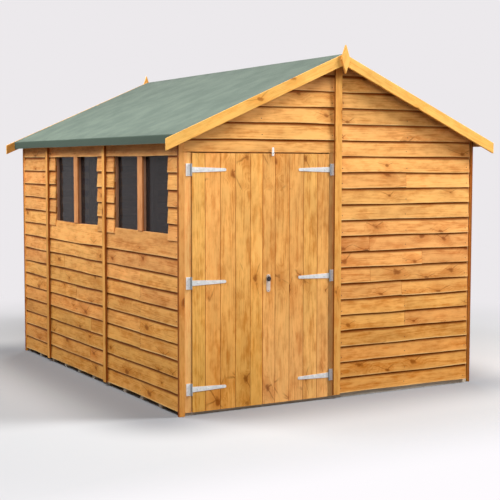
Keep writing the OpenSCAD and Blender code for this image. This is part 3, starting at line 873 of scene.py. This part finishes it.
def merged(meshes: Sequence[Mesh]) -> Mesh:
    """Join meshes with their attributes and materials into one.

    Args:
        meshes: The meshes, which are used up.

    Returns:
        The joined mesh.
    """
    parts = []
    for mesh in meshes:
        part = bpy.data.objects.new("part", mesh)
        bpy.context.scene.collection.objects.link(part)
        parts.append(part)
    with bpy.context.temp_override(active_object=parts[0], object=parts[0], selected_objects=parts,
                                   selected_editable_objects=parts):
        bpy.ops.object.join()
    mesh = parts[0].data
    bpy.data.objects.remove(parts[0])
    return mesh


def trimmed(mesh: Mesh, planes: Iterable[tuple[Point, Point]], sharp: float = 20.0) -> Mesh:
    """Cut a mesh of closed boards off outside some planes, close the cuts and keep faces flat.

    Args:
        mesh: The boards.
        planes: A point and an outward normal of each plane.
        sharp: The angle from which an edge stays sharp, in degrees.

    Returns:
        The same mesh.
    """
    work = bmesh.new()
    work.from_mesh(mesh)
    for point, normal in planes:
        geometry = work.verts[:] + work.edges[:] + work.faces[:]
        bmesh.ops.bisect_plane(work, geom=geometry, dist=1e-7, plane_co=point, plane_no=normal,
                               clear_outer=True)
        bmesh.ops.holes_fill(work, edges=[e for e in work.edges if e.is_boundary], sides=0)
    work.to_mesh(mesh)
    work.free()
    mesh.set_sharp_from_angle(angle=math.radians(sharp))
    return mesh


@dataclass
class SolidDresser:
    """Turns copies of the plain solids into pieces with eased edges and grain along each bar.

    The angles, in degrees, are those under which two faces are one and from which an edge is sharp.
    """

    seed: int = 11
    flat: float = 0.5
    sharp: float = 24.0
    weld: float = 1e-5
    facing: float = 0.8
    draws: random.Random = field(init=False)

    def __post_init__(self) -> None:
        """Start the seeded draws."""
        self.draws = random.Random(self.seed)

    def dress(self, node: str, finish: Finish, ease: Ease,
              body: Body = Body.SHED) -> None:
        """Make a piece from a copy of a solid.

        Args:
            node: The solid that it is made from and stands for.
            finish: Its finish.
            ease: How its edges are eased.
            body: The body that it rides on.
        """
        work = bmesh.new()
        work.from_mesh(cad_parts[node].data)
        bmesh.ops.remove_doubles(work, verts=work.verts, dist=self.weld)
        bmesh.ops.dissolve_limit(work, angle_limit=math.radians(self.flat), verts=work.verts,
                                 edges=work.edges)
        bmesh.ops.recalc_face_normals(work, faces=work.faces)
        sharp = math.radians(self.sharp)
        edges = [e for e in work.edges
                 if len(e.link_faces) == 2 and e.calc_face_angle(0.0) > sharp]
        bmesh.ops.bevel(work, geom=edges, offset=ease.value, offset_type="OFFSET", segments=2,
                        profile=0.6, affect="EDGES", clamp_overlap=True)
        self.mark_grain(work)
        name = node + "_dressed"
        show(name, finished(work, name, [finish], self.sharp), body, [node])

    def mark_grain(self, work: Work) -> None:
        """Store each separate bar's grain and tone, and mark its narrow and inner sides for painted
        shade.

        The grain runs along the bar's longest edge.

        Args:
            work: The mesh of the bars.
        """
        grain = work.verts.layers.float_vector.new("grain")
        tone = work.verts.layers.float.new("tone")
        narrow_shade = work.faces.layers.float.new("edge")
        inner = work.faces.layers.float.new("inner")
        for island in self.islands(work):
            middle = sum((v.co for v in island), Vector()) / len(island)
            edges = dict.fromkeys(e for v in island for e in v.link_edges)
            runs = [e.verts[1].co - e.verts[0].co for e in edges]
            runs.sort(key=lambda run: -run.length)
            along = runs[0].normalized()
            side = next((r for r in runs if abs(r.normalized().dot(along)) < 0.5),
                        along.orthogonal())
            across = (side - side.dot(along) * along).normalized()
            through = along.cross(across)
            inwards = -math.copysign(1.0, middle.y)
            shade = self.draws.random()
            for vert in island:
                place = vert.co - middle
                vert[grain] = Vector([place.dot(axis) for axis in (along, through, across)])
                vert[tone] = shade
            # These marks give narrow sides and sides facing the middle painted shade in the finish.
            for face in {f for v in island for f in v.link_faces}:
                face[narrow_shade] = float(abs(face.normal.dot(across)) > self.facing)
                face[inner] = float(face.normal.y * inwards > self.facing)

    @staticmethod
    def islands(work: Work) -> list[list[bmesh.types.BMVert]]:
        """Find the groups of linked vertices.

        Args:
            work: The mesh.

        Returns:
            The vertices of each group.
        """
        left, groups = set(work.verts), []
        for start in work.verts:
            if start not in left:
                continue
            left.discard(start)
            group, queue = [start], [start]
            while queue:
                for edge in queue.pop().link_edges:
                    for vert in edge.verts:
                        if vert in left:
                            left.discard(vert)
                            group.append(vert)
                            queue.append(vert)
            groups.append(group)
        return groups


@dataclass(frozen=True)
class Panel:
    """One panel of lapped boards, with its ends along the wall as seen from outside.

    The joints give the courses that are made of two lengths and the place where these meet.
    """

    side: Side
    start: float
    end: float
    first: int
    last: int
    seed: int
    joints: tuple[tuple[int, float], ...] = ()
    bare_top: bool = False

    def runs(self) -> list[tuple[int, int, float | None, bool]]:
        """Group like courses.

        Returns:
            The first course of each group, how many, their joint and whether they are lapped.
        """
        split, groups = dict(self.joints), []
        for course in range(self.first, self.last + 1):
            kind = (split.get(course), not (self.bare_top and course == self.last))
            if groups and kind == groups[-1][2:] and kind[0] is None:
                groups[-1] = (groups[-1][0], groups[-1][1] + 1, *kind)
            else:
                groups.append((course, 1, *kind))
        return groups


@dataclass
class Cladding:
    """Lapped boards of the four walls, trimmed under the roof.

    The courses are counted from the foot: the top one in the gables, the one under the eaves, the
    one under the windows and the one over the windows and the doors. A window has the ends of its
    panel along the left wall and its own middle.
    """

    boards: BoardTree
    half_w: float = 1.195
    half_l: float = 1.5
    pitch: float = 0.1104
    foot: float = 0.031
    height: float = 0.15
    thickness: float = 0.008
    lean: float = 0.01087
    edge: float = 0.0018
    bow: float = 0.0035
    joint: float = 0.0022
    parts: int = 12
    ridge: float = 2.3646
    slope: float = 0.438967
    roof_gap: float = 0.0002
    head: float = 1.712
    top_course: int = 21
    eave_course: int = 16
    sill_course: int = 9
    head_course: int = 15
    windows: tuple[Point, ...] = ((0.302, 1.5, 0.9), (-0.898, 0.298, -0.3))
    opening: float = 0.445

    def wall(self, side: Side) -> Matrix:
        """Find the place of a wall.

        Args:
            side: The wall.

        Returns:
            Its matrix: X runs along it to the right as seen from outside, and Y out of it.
        """
        reach = self.half_l if side in (Side.FRONT, Side.BACK) else self.half_w
        turn = Matrix.Rotation(math.radians(side.value), 4, "Z")
        face = Matrix.Translation((0.0, -reach, 0.0)) @ Matrix.Scale(-1.0, 4, (0.0, 1.0, 0.0))
        return turn @ face

    def panel(self, panel: Panel) -> list[Mesh]:
        """Make the boards of one panel in place.

        Args:
            panel: The panel.

        Returns:
            The meshes of its groups of courses.
        """
        meshes, gap = [], self.joint / 2
        for first, count, split, lapped in panel.runs():
            ends = [(panel.start, panel.end)]
            if split is not None:
                ends = [(panel.start, split - gap), (split + gap, panel.end)]
            for number, (start, end) in enumerate(ends):
                mesh = self.boards.run(
                    bpy.data.meshes.new("base"), Length=end - start, Height=self.height,
                    Thickness=self.thickness, Pitch=self.pitch, Lean=self.lean, Edge=self.edge,
                    Bow=self.bow, Lap=float(lapped), Boards=count, Parts=self.parts,
                    Seed=panel.seed * 100 + first * 2 + number, Finish=LAP_PINE.material())
                lift = Matrix.Translation((start, 0.0, self.foot + first * self.pitch))
                mesh.transform(self.wall(panel.side) @ lift)
                mesh.flip_normals()
                meshes.append(mesh)
        return meshes

    def piece(self, name: str, *panels: Panel) -> None:
        """Make panels into a piece, trimmed under the roof.

        Args:
            name: The solid that the piece stands for.
            panels: The panels.
        """
        mesh = merged([mesh for panel in panels for mesh in self.panel(panel)])
        top = (0.0, 0.0, self.ridge - self.roof_gap)
        planes = [(top, (self.slope, 0.0, 1.0)), (top, (-self.slope, 0.0, 1.0))]
        if name == "front_gable_boards":
            planes.append(((0.0, 0.0, self.head), (0.0, 0.0, -1.0)))
        show(name + "_dressed", trimmed(mesh, planes), Body.SHED, [name])

    def build(self) -> None:
        """Make the boards of every wall."""
        front, right, back, left = Side.FRONT, Side.RIGHT, Side.BACK, Side.LEFT
        top, eave = self.top_course, self.eave_course
        sill, head = self.sill_course, self.head_course
        self.piece("front_wall_boards", Panel(front, 0.002, 1.181, 0, top, 3, (
            (4, 0.6), (5, 0.6), (6, 0.57), (7, 0.29), (9, 0.28), (8, 0.75), (13, 0.6))))
        self.piece("front_gable_boards", Panel(front, -1.178, -0.002, head, top, 14))
        self.piece(
            "back_wall_boards",
            Panel(back, 0.002, 1.178, 0, top, 21, ((3, 0.6), (6, 0.6), (11, 0.6), (14, 0.3))),
            Panel(back, -1.181, -0.002, 0, top, 22, ((2, -0.6), (7, -0.6), (8, -0.6), (12, -0.9))))
        self.piece(
            "left_wall_boards",
            Panel(left, 0.302, 1.5, 0, sill, 31, ((3, 0.9), (4, 0.9), (6, 0.9), (7, 0.9)), True),
            Panel(left, -0.898, 0.298, 0, sill, 32,
                  ((1, -0.02), (3, 0.0), (5, -0.3), (7, -0.55)), True),
            Panel(left, -1.5, -0.902, 0, eave, 33))
        sides, heads = [], []
        for number, (low, high, middle) in enumerate(self.windows):
            for seed, start, end in ((40, low, middle - self.opening),
                                     (94, middle + self.opening, high)):
                sides.append(Panel(left, start, end, sill + 1, head - 1, seed + number))
            heads.append(Panel(left, low, high, head, eave, 51 + number))
        self.piece("window_side_boards", *sides)
        self.piece("window_head_boards", *heads)
        self.piece(
            "right_wall_boards",
            Panel(right, -1.486, -0.302, 0, eave, 61, ((2, -0.9), (5, -0.9), (9, -0.6))),
            Panel(right, -0.298, 0.898, 0, eave, 62, ((3, 0.3), (4, 0.3), (8, 0.0), (12, 0.3))),
            Panel(right, 0.902, 1.486, 0, eave, 63))


@dataclass
class Leaf:
    """One door: upright boards with V joints."""

    boards: BoardTree
    name: str
    body: Body
    finish: Wood
    seed: int
    low_x: float
    width: float = 0.5235
    foot: float = 0.02
    height: float = 1.683
    back: float = -1.505
    thickness: float = 0.012
    cover: float = 0.1125
    joint: float = 0.0012
    chamfer: float = 0.0032
    count: int = 5

    def build(self) -> None:
        """Make the boards, stand them up and cut the outer two to the door's width."""
        mesh = self.boards.run(
            bpy.data.meshes.new("base"), Length=self.height, Height=self.cover - self.joint,
            Thickness=self.thickness, Pitch=self.cover, Lean=0.0, Edge=self.chamfer, Bow=0.0,
            Lap=1.0, Boards=self.count, Parts=2, Seed=self.seed, Finish=self.finish.material())
        row = self.count * self.cover - self.joint
        start = self.low_x + (self.width - row) / 2
        mesh.transform(Matrix(((0, 0, 1, start), (0, -1, 0, self.back), (1, 0, 0, self.foot),
                               (0, 0, 0, 1))))
        trimmed(mesh, [((self.low_x, 0, 0), (-1, 0, 0)),
                       ((self.low_x + self.width, 0, 0), (1, 0, 0))])
        show(self.name + "_dressed", mesh, self.body, [self.name])


@dataclass
class Roof:
    """Felt over both slopes, folded down over the eaves, with slight waves.

    The waves lift the sheet and move the fold down and out. They run askew over the roof and stop
    short of the eave, so that the sheet lies flat there.
    """

    edge_x: float = 1.267
    edge_y: float = 1.582
    ridge: float = 2.3799
    slope: float = 0.438967
    thickness: float = 0.003
    fold: float = 0.06
    bend: float = 0.009
    sag: float = 0.0004
    rows: int = 64
    slope_steps: int = 24
    bend_steps: int = 5
    fold_steps: int = 4
    waves: int = 6
    askew: float = 0.35
    sheet_lift: float = 0.0016
    fold_drop: float = 0.0045
    fold_out: float = 0.0012
    flat_edge: float = 0.05
    sharp: float = 40.0
    seed: int = 5

    def section(self) -> list[Point]:
        """Draw the felt's outer line on the right slope.

        Returns:
            X, Z and the share of the fold of each point, from the ridge down.
        """
        line = [(self.edge_x * i / self.slope_steps,
                 self.ridge - self.slope * self.edge_x * i / self.slope_steps, 0.0)
                for i in range(self.slope_steps)]
        eave = self.ridge - self.slope * self.edge_x
        outer = self.edge_x + self.thickness
        pitch = math.atan(self.slope)
        for step in range(self.bend_steps + 1):
            share = step / self.bend_steps
            turn = pitch + (math.pi / 2 - pitch) * step / self.bend_steps
            line.append((outer - self.bend * (1 - math.sin(turn)),
                         eave - self.bend * (1 - math.cos(turn)) - self.sag, share))
        for step in range(1, self.fold_steps + 1):
            drop = (self.bend - self.fold) * step / self.fold_steps
            line.append((outer, eave - self.bend + drop, 1.0))
        return line

    def build(self) -> None:
        """Sweep the line from verge to verge and give the sheet its thickness."""
        half = self.section()
        line = [(-x, z, f) for x, z, f in reversed(half[1:])] + half
        draws = random.Random(self.seed)
        waves = [(draws.uniform(1.5, 6.0), draws.uniform(0, math.tau), draws.uniform(0.3, 1.0))
                 for _ in range(self.waves)]
        work = bmesh.new()
        fold = work.verts.layers.float.new("fold")
        grid = []
        for row in range(self.rows + 1):
            y = -self.edge_y + 2 * self.edge_y * row / self.rows
            ring = []
            for x, z, share in line:
                lift = sum(a * math.sin(f * (y + self.askew * x) + p) for f, p, a in waves)
                lift /= self.waves
                rise = self.fold_drop * lift * share
                if abs(x) < self.edge_x - self.flat_edge:
                    rise += self.sheet_lift * lift * (1 - share)
                out = math.copysign(self.fold_out * lift * share, x)
                vert = work.verts.new((x + out, y, z + rise))
                vert[fold] = share
                ring.append(vert)
            grid.append(ring)
        for low, high in zip(grid, grid[1:]):
            for i in range(len(line) - 1):
                work.faces.new((low[i], low[i + 1], high[i + 1], high[i]))
        bmesh.ops.recalc_face_normals(work, faces=work.faces)
        if sum(f.normal.z for f in work.faces) < 0:
            bmesh.ops.reverse_faces(work, faces=work.faces)
        bmesh.ops.solidify(work, geom=work.faces[:], thickness=self.thickness)
        show("roof_felt", finished(work, "roof_felt", [FELT], self.sharp), Body.SHED,
             ["left_roof_felt", "right_roof_felt", "eave_felt_folds"])


@dataclass
class Lock:
    """Plate with a round knob on the right door; the profile is the knob's radii and reaches."""

    x: float = -0.5495
    y: float = -1.517
    z: float = 0.868
    width: float = 0.03
    height: float = 0.12
    plate_t: float = 0.0025
    rim: float = 0.0008
    arc_steps: int = 16
    knob_sides: int = 32
    profile: tuple[Span, ...] = (
        (0.0098, 0.0024), (0.0096, 0.0055), (0.013, 0.0068), (0.0166, 0.0085), (0.017, 0.0098),
        (0.0158, 0.0122), (0.0128, 0.0139), (0.0075, 0.0146), (0.0, 0.0147))
    sharp: float = 35.0

    def build(self) -> None:
        """Make the plate and the knob in place."""
        work = bmesh.new()
        self.plate(work)
        self.knob(work)
        bmesh.ops.recalc_face_normals(work, faces=work.faces)
        bmesh.ops.translate(work, verts=work.verts, vec=(self.x, self.y, self.z))
        show("door_lock_dressed", finished(work, "door_lock", [LOCK_PLATE, BLACK], self.sharp),
             Body.RIGHT_DOOR, ["door_lock"])

    def plate(self, work: Work) -> None:
        """Add the plate with round ends and an eased rim.

        Args:
            work: The lock's mesh.
        """
        radius = self.width / 2
        foot = radius - self.height + self.width
        arc = [math.pi * i / self.arc_steps for i in range(self.arc_steps + 1)]
        outline = [(radius * math.cos(a), radius + radius * math.sin(a)) for a in arc]
        outline += [(-radius * math.cos(a), foot - radius * math.sin(a)) for a in arc]
        face = work.faces.new([work.verts.new((px, 0.0, pz)) for px, pz in outline])
        moved = bmesh.ops.extrude_face_region(work, geom=[face])
        front = {v for v in moved["geom"] if isinstance(v, bmesh.types.BMVert)}
        bmesh.ops.translate(work, verts=list(front), vec=(0.0, -self.plate_t, 0.0))
        bmesh.ops.recalc_face_normals(work, faces=work.faces)
        rim = [e for e in work.edges if front.issuperset(e.verts) and len(e.link_faces) == 2]
        bmesh.ops.bevel(work, geom=rim, offset=self.rim, segments=2, profile=0.6, affect="EDGES")

    def knob(self, work: Work) -> None:
        """Add the turned knob in front of the plate, in the second finish.

        Args:
            work: The lock's mesh.
        """
        count = self.knob_sides
        rings = []
        for radius, out in self.profile:
            turns = [math.tau * i / count for i in range(count if radius else 1)]
            rings.append([work.verts.new((radius * math.cos(t), -out, radius * math.sin(t)))
                          for t in turns])
        faces = [rings[0][::-1]]
        for low, high in zip(rings, rings[1:]):
            for i in range(count):
                after = (i + 1) % count
                upper = [high[after], high[i]] if len(high) > 1 else high
                faces.append([low[i], low[after], *upper])
        for corners in faces:
            work.faces.new(corners).material_index = 1


@dataclass(frozen=True)
class Head:
    """The head of one kind of fixing, with its radius and how far it stands out."""

    radius: float
    rise: float
    finish: Finish
    slot: str


STRAP_BOLT = Head(0.0048, 0.0024, ZINC, "hinge_zinc")
PLATE_SCREW = Head(0.0042, 0.0016, ZINC, "hinge_zinc")
LOCK_SCREW = Head(0.0032, 0.0012, STEEL, "lock")
BUTTON_SCREW = Head(0.0038, 0.0014, STEEL, "button")
BOARD_NAIL = Head(0.0036, 0.0012, NAIL, "boards")


@dataclass
class Fixings:
    """Bolts and screws on the hinges, the lock and the button, and nails in the boards.

    The marks are the places of the heads: out from the pin along a strap, out from the pin and up
    on a hinge plate, and up on the lock's plate.
    """

    heads: HeadTree
    walls: Cladding
    lock: Lock
    hinge_heights: tuple[float, ...] = (0.171, 0.8655, 1.596)
    strap_y: float = -1.52
    strap_marks: tuple[float, ...] = (0.045, 0.125, 0.215)
    plate_y: float = -1.515
    plate_marks: tuple[Span, ...] = ((0.012, 0.028), (0.027, 0.012), (0.027, -0.012),
                                     (0.012, -0.028))
    lock_marks: Span = (0.021, -0.081)
    button: Point = (-0.5195, -1.526, 1.704)
    nail_rise: float = 0.03
    stray: float = 0.006
    margin: float = 0.02
    sides: int = 10
    spin_seed: int = 7
    seed: int = 17

    def piece(self, name: str, points: Sequence[Point], body: Body, head: Head,
              side: Side = Side.FRONT) -> None:
        """Make one piece of heads on points.

        Args:
            name: Name of the piece.
            points: Where the heads sit.
            body: The body that they ride on.
            head: The kind of head.
            side: The wall that they are on.
        """
        base = bpy.data.meshes.new("points")
        base.from_pydata(points, [], [])
        facing = Euler((math.pi / 2, 0.0, math.radians(side.value)))
        mesh = self.heads.run(base, Radius=head.radius, Rise=head.rise, Sides=self.sides,
                              Facing=facing, Seed=self.spin_seed, Finish=head.finish.material())
        show(name, mesh, body)

    def build(self) -> None:
        """Make the bolts of the straps, the screws and the nails."""
        plates = []
        for name, body, pin, way in (("left_strap_bolts", Body.LEFT_DOOR, HINGE_PINS[0], 1),
                                     ("right_strap_bolts", Body.RIGHT_DOOR, HINGE_PINS[1], -1)):
            straps = [(pin + way * reach, self.strap_y, z)
                      for z in self.hinge_heights for reach in self.strap_marks]
            self.piece(name, straps, body, STRAP_BOLT)
            plates += [(pin - way * reach, self.plate_y, z + rise)
                       for z in self.hinge_heights for reach, rise in self.plate_marks]
        self.piece("plate_screws", plates, Body.SHED, PLATE_SCREW)
        lock = [(self.lock.x, self.lock.y - self.lock.plate_t, self.lock.z + rise)
                for rise in self.lock_marks]
        self.piece("lock_screws", lock, Body.RIGHT_DOOR, LOCK_SCREW)
        self.piece("button_screw", [self.button], Body.RIGHT_DOOR, BUTTON_SCREW)
        self.nails()

    def nails(self) -> None:
        """Make the nails that hold the boards, one in each board at each stud."""
        walls = self.walls
        top, eave = (0, walls.top_course), (0, walls.eave_course)
        gable, sill = (walls.head_course, walls.top_course), (0, walls.sill_course)
        rows = {
            Side.FRONT: (((0.045, 0.6, 1.155), top), ((-0.045, -0.6, -1.155), gable)),
            Side.BACK: (((0.045, 0.6, 1.155, -0.045, -0.6, -1.155), top),),
            Side.RIGHT: (((-1.455, -0.9, -0.345, -0.255, 0.3, 0.855, 0.945, 1.455), eave),),
            Side.LEFT: (((1.475, 0.345, 0.255, -0.855, -0.945, -1.475), eave),
                        ((0.9, -0.3), sill)),
        }
        draws = random.Random(self.seed)
        for side, groups in rows.items():
            points = []
            for places, (first, last) in groups:
                for along in places:
                    for course in range(first, last + 1):
                        strayed = along + draws.uniform(-self.stray, self.stray)
                        points += self.nail(side, strayed, course, draws)
            self.piece(side.name.lower() + "_nails", points, Body.SHED, BOARD_NAIL, side)

    def nail(self, side: Side, along: float, course: int, draws: random.Random) -> list[Point]:
        """Find the place of one nail.

        Args:
            side: The wall.
            along: The place along the wall.
            course: The course of boards.
            draws: The seeded draws.

        Returns:
            The place, or nothing where the roof or the doorway leaves no board.
        """
        walls = self.walls
        rise = self.nail_rise + draws.uniform(-self.stray, self.stray)
        height = walls.foot + course * walls.pitch + rise
        reach = abs(along) if side in (Side.FRONT, Side.BACK) else walls.half_w
        over_door = side is Side.FRONT and along < 0
        if height > walls.ridge - walls.slope * reach - self.margin or (
                over_door and height < walls.head + self.margin):
            return []
        out = (1 - rise / walls.height) * walls.lean + walls.thickness
        return [tuple(walls.wall(side) @ Vector((along, out, height)))]


@dataclass(frozen=True)
class Lamp:
    """A square soft light, with its side in metres and its power in watts."""

    name: str
    place: Point
    aim: Point
    size: float
    power: float

    def build(self) -> None:
        """Add the light to the scene."""
        data = bpy.data.lights.new(self.name, "AREA")
        data.shape, data.size, data.energy = "SQUARE", self.size, self.power
        light = bpy.data.objects.new(self.name, data)
        light.location = self.place
        way = Vector(self.aim) - Vector(self.place)
        light.rotation_euler = way.to_track_quat("-Z", "Y").to_euler()
        bpy.context.scene.collection.objects.link(light)


LAMPS = (
    Lamp("key", (5.8, -4.7, 5.3), (0.0, -1.5, 1.4), 1.7, 500.0),
    Lamp("high_key", (4.4, -3.0, 6.2), (0.3, -1.5, 1.6), 1.5, 390.0),
    Lamp("front", (-3.2, -4.6, 4.6), (-0.6, -1.3, 1.6), 2.4, 165.0),
    Lamp("left", (-3.3, 0.4, 5.2), (-1.2, 0.2, 1.2), 2.2, 192.0),
    Lamp("left_back", (-4.6, 4.2, 4.6), (-1.2, 0.6, 1.4), 2.0, 140.0),
    Lamp("back", (3.6, 7.0, 4.6), (0.3, 0.8, 1.2), 3.0, 260.0),
)


@dataclass
class Studio:
    """Floor, background, lights and the camera at the photograph's viewing angle.

    The floor has a painted shadow close to the footprint, within a reach along each axis, darkest
    left of the shed. It fades into the background with distance and glows paler ahead of the shed,
    as painted light.
    """

    eye: Point = (-4.4194, -8.0067, 1.6291)
    yaw: float = math.radians(29.877)
    pitch: float = math.radians(-4.309)
    roll: float = math.radians(0.097)
    lens: float = 81.58
    sensor: float = 36.0
    backdrop: Rgb = linear(236, 233, 236)
    fore_light: Rgb = linear(254, 251, 254)
    ambient: float = 0.06
    ambient_tone: Rgb = (1.0, 0.99, 0.99)
    floor_shadow_near: Rgb = (0.28, 0.285, 0.3)
    floor_far: Rgb = (0.5, 0.505, 0.515)
    floor_shadow_left: Rgb = (0.17, 0.173, 0.184)
    floor_bounce: Rgb = (0.2, 0.19, 0.19)
    floor_radius: float = 60.0
    footprint: Point = (1.2, 1.5, 0.0)
    reach: Point = (0.8, 0.72, 1.0)
    shadow_left_span: Span = (-1.6, -1.1)
    fade_span: Span = (2.5, 5.4)
    fade_ahead: Span = (-2.3, -3.3)
    fore_ahead: Span = (-1.8, -3.3)
    fore_end: Span = (5.0, 8.0)

    def build(self) -> None:
        """Make everything round the shed."""
        scene = bpy.context.scene
        scene.view_settings.view_transform = "Standard"
        self.camera(scene)
        self.world(scene)
        self.floor(scene)
        for lamp in LAMPS:
            lamp.build()

    def camera(self, scene: bpy.types.Scene) -> None:
        """Place the camera.

        Args:
            scene: The scene.
        """
        data = bpy.data.cameras.new("camera")
        data.sensor_width = self.sensor
        data.lens = self.lens
        data.clip_end = 200.0
        camera = bpy.data.objects.new("camera", data)
        turn = (Matrix.Rotation(-self.yaw, 4, "Z")
                @ Matrix.Rotation(math.pi / 2 + self.pitch, 4, "X")
                @ Matrix.Rotation(self.roll, 4, "Z"))
        camera.matrix_world = Matrix.Translation(self.eye) @ turn
        scene.collection.objects.link(camera)
        scene.camera = camera

    def world(self, scene: bpy.types.Scene) -> None:
        """Make a pale background that lights the shed softly.

        Args:
            scene: The scene.
        """
        world = bpy.data.worlds.new("studio")
        world.use_nodes = True
        scene.world = world
        kit = NodeKit(world.node_tree)
        kit.tree.nodes.clear()
        path = kit.add("ShaderNodeLightPath").outputs
        seen = kit.math("MAXIMUM", path["Is Camera Ray"], path["Is Transmission Ray"])
        seen = kit.math("MAXIMUM", seen, path["Is Glossy Ray"])
        shown = kit.add("ShaderNodeBackground", {"Color": self.backdrop, "Strength": 1.0})
        soft = kit.add("ShaderNodeBackground", {"Color": self.ambient_tone,
                                                "Strength": self.ambient})
        both = kit.add("ShaderNodeMixShader", {0: seen, 1: soft.outputs[0], 2: shown.outputs[0]})
        kit.add("ShaderNodeOutputWorld", {"Surface": both.outputs[0]})

    def floor(self, scene: bpy.types.Scene) -> None:
        """Make a round floor that fades into the background.

        Args:
            scene: The scene.
        """
        work = bmesh.new()
        bmesh.ops.create_circle(work, cap_ends=True, segments=96, radius=self.floor_radius)
        mesh = bpy.data.meshes.new("floor")
        work.to_mesh(mesh)
        work.free()
        kit = ShaderKit("studio_floor")
        path = kit.add("ShaderNodeLightPath").outputs
        place = kit.place()
        sideways, depth, _ = kit.split(place)
        far = kit.length(place)
        beyond = kit.vector("SUBTRACT", kit.vector("ABSOLUTE", place), self.footprint)
        beyond = kit.vector("MAXIMUM", beyond, (0.0, 0.0, 0.0))
        away = kit.length(kit.vector("DIVIDE", beyond, self.reach))
        # Painted shadow: the floor colour darkens close to the footprint, most of all left of the
        # shed.
        shadowed = kit.mix(kit.span(sideways, *self.shadow_left_span), self.floor_shadow_left, self.floor_shadow_near)
        seen = kit.mix(kit.span(away, 0.0, 1.0), shadowed, self.floor_far)
        colour = kit.mix(path["Is Camera Ray"], self.floor_bounce, seen)
        kit.set(Base_Color=colour, Roughness=0.9, Specular_IOR_Level=0.1)
        share = kit.math("MAXIMUM", kit.span(far, *self.fade_span),
                         kit.span(depth, *self.fade_ahead))
        share = kit.times(share, path["Is Camera Ray"])
        share = kit.math("MAXIMUM", share, path["Is Glossy Ray"])
        # Painted light: the floor glows paler ahead of the shed.
        ahead = kit.times(kit.span(depth, *self.fore_ahead), kit.fade(far, *self.fore_end))
        fore_light = kit.mix(ahead, self.backdrop, self.fore_light)
        glow = kit.add("ShaderNodeEmission", {"Color": fore_light, "Strength": 1.0})
        both = kit.add("ShaderNodeMixShader", {0: share, 1: kit.shader.outputs[0],
                                               2: glow.outputs[0]})
        kit.feed(kit.output.inputs["Surface"], both.outputs[0])
        mesh.materials.append(kit.material)
        floor = bpy.data.objects.new("studio_floor", mesh)
        scene.collection.objects.link(floor)


def paint(nodes: Iterable[str], finish: Finish) -> None:
    """Give solids whose plain shape is right a finish.

    Args:
        nodes: The solids.
        finish: Their finish.
    """
    for node in nodes:
        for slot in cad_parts[node].material_slots:
            slot.material = finish.material()
        LOG.info("%s: painted in %s", node, finish.name)


def dress_solids() -> None:
    """Dress the framing, strips, trim and fittings that are made from copies of the solids."""
    dresser = SolidDresser()
    dresser.dress("floor_bearers", BEARER_PINE, Ease.SAWN)
    for wall in ("front_wall", "back_wall", "left_wall", "right_wall"):
        for part in ("_studs", "_rails"):
            dresser.dress(wall + part, SAWN_PINE, Ease.SAWN)
    for node in ("left_roof_rails", "right_roof_rails"):
        dresser.dress(node, SAWN_PINE, Ease.SAWN)
    for node, finish in (("side_wall_cover_strips", CORNER_PINE),
                         ("gable_cover_strips", STRIP_PINE), ("corner_strips", CORNER_PINE),
                         ("window_mullions", SASH_PINE), ("window_beads", BEAD_PINE)):
        dresser.dress(node, finish, Ease.STRIP)
    # The seed gives the right door post a darker tone: painted shade beside the centre strip.
    SolidDresser(seed=2285).dress("door_posts", POST_PINE, Ease.STRIP)
    for node in ("front_left_bargeboard", "front_right_bargeboard", "back_left_bargeboard",
                 "back_right_bargeboard", "finials"):
        dresser.dress(node, TRIM_PINE, Ease.TRIM)
    for side, body in (("left", Body.LEFT_DOOR), ("right", Body.RIGHT_DOOR)):
        dresser.dress(side + "_door_ledges", SAWN_PINE, Ease.STRIP, body)
        dresser.dress(side + "_hinge_straps", ZINC, Ease.METAL, body)
    dresser.dress("hinge_plates", PLATE_ZINC, Ease.METAL)
    dresser.dress("turn_button", WHITE, Ease.BUTTON, Body.RIGHT_DOOR)


def main() -> None:
    """Build the studio and every part of the shed."""
    logging.basicConfig(level=logging.INFO, format="%(message)s")
    Studio().build()
    boards = BoardTree()
    walls, lock = Cladding(boards), Lock()
    walls.build()
    Leaf(boards, "left_door_boards", Body.LEFT_DOOR, DOOR_PINE, 71, -1.119).build()
    Leaf(boards, "right_door_boards", Body.RIGHT_DOOR, RIGHT_DOOR_PINE, 72, -0.5895).build()
    Roof().build()
    dress_solids()
    lock.build()
    Fixings(HeadTree(), walls, lock).build()
    paint(("floor_deck", "left_roof_deck", "right_roof_deck"), STRANDS)
    paint(("window_panes",), GLASS)


if __name__ == "__main__":
    main()
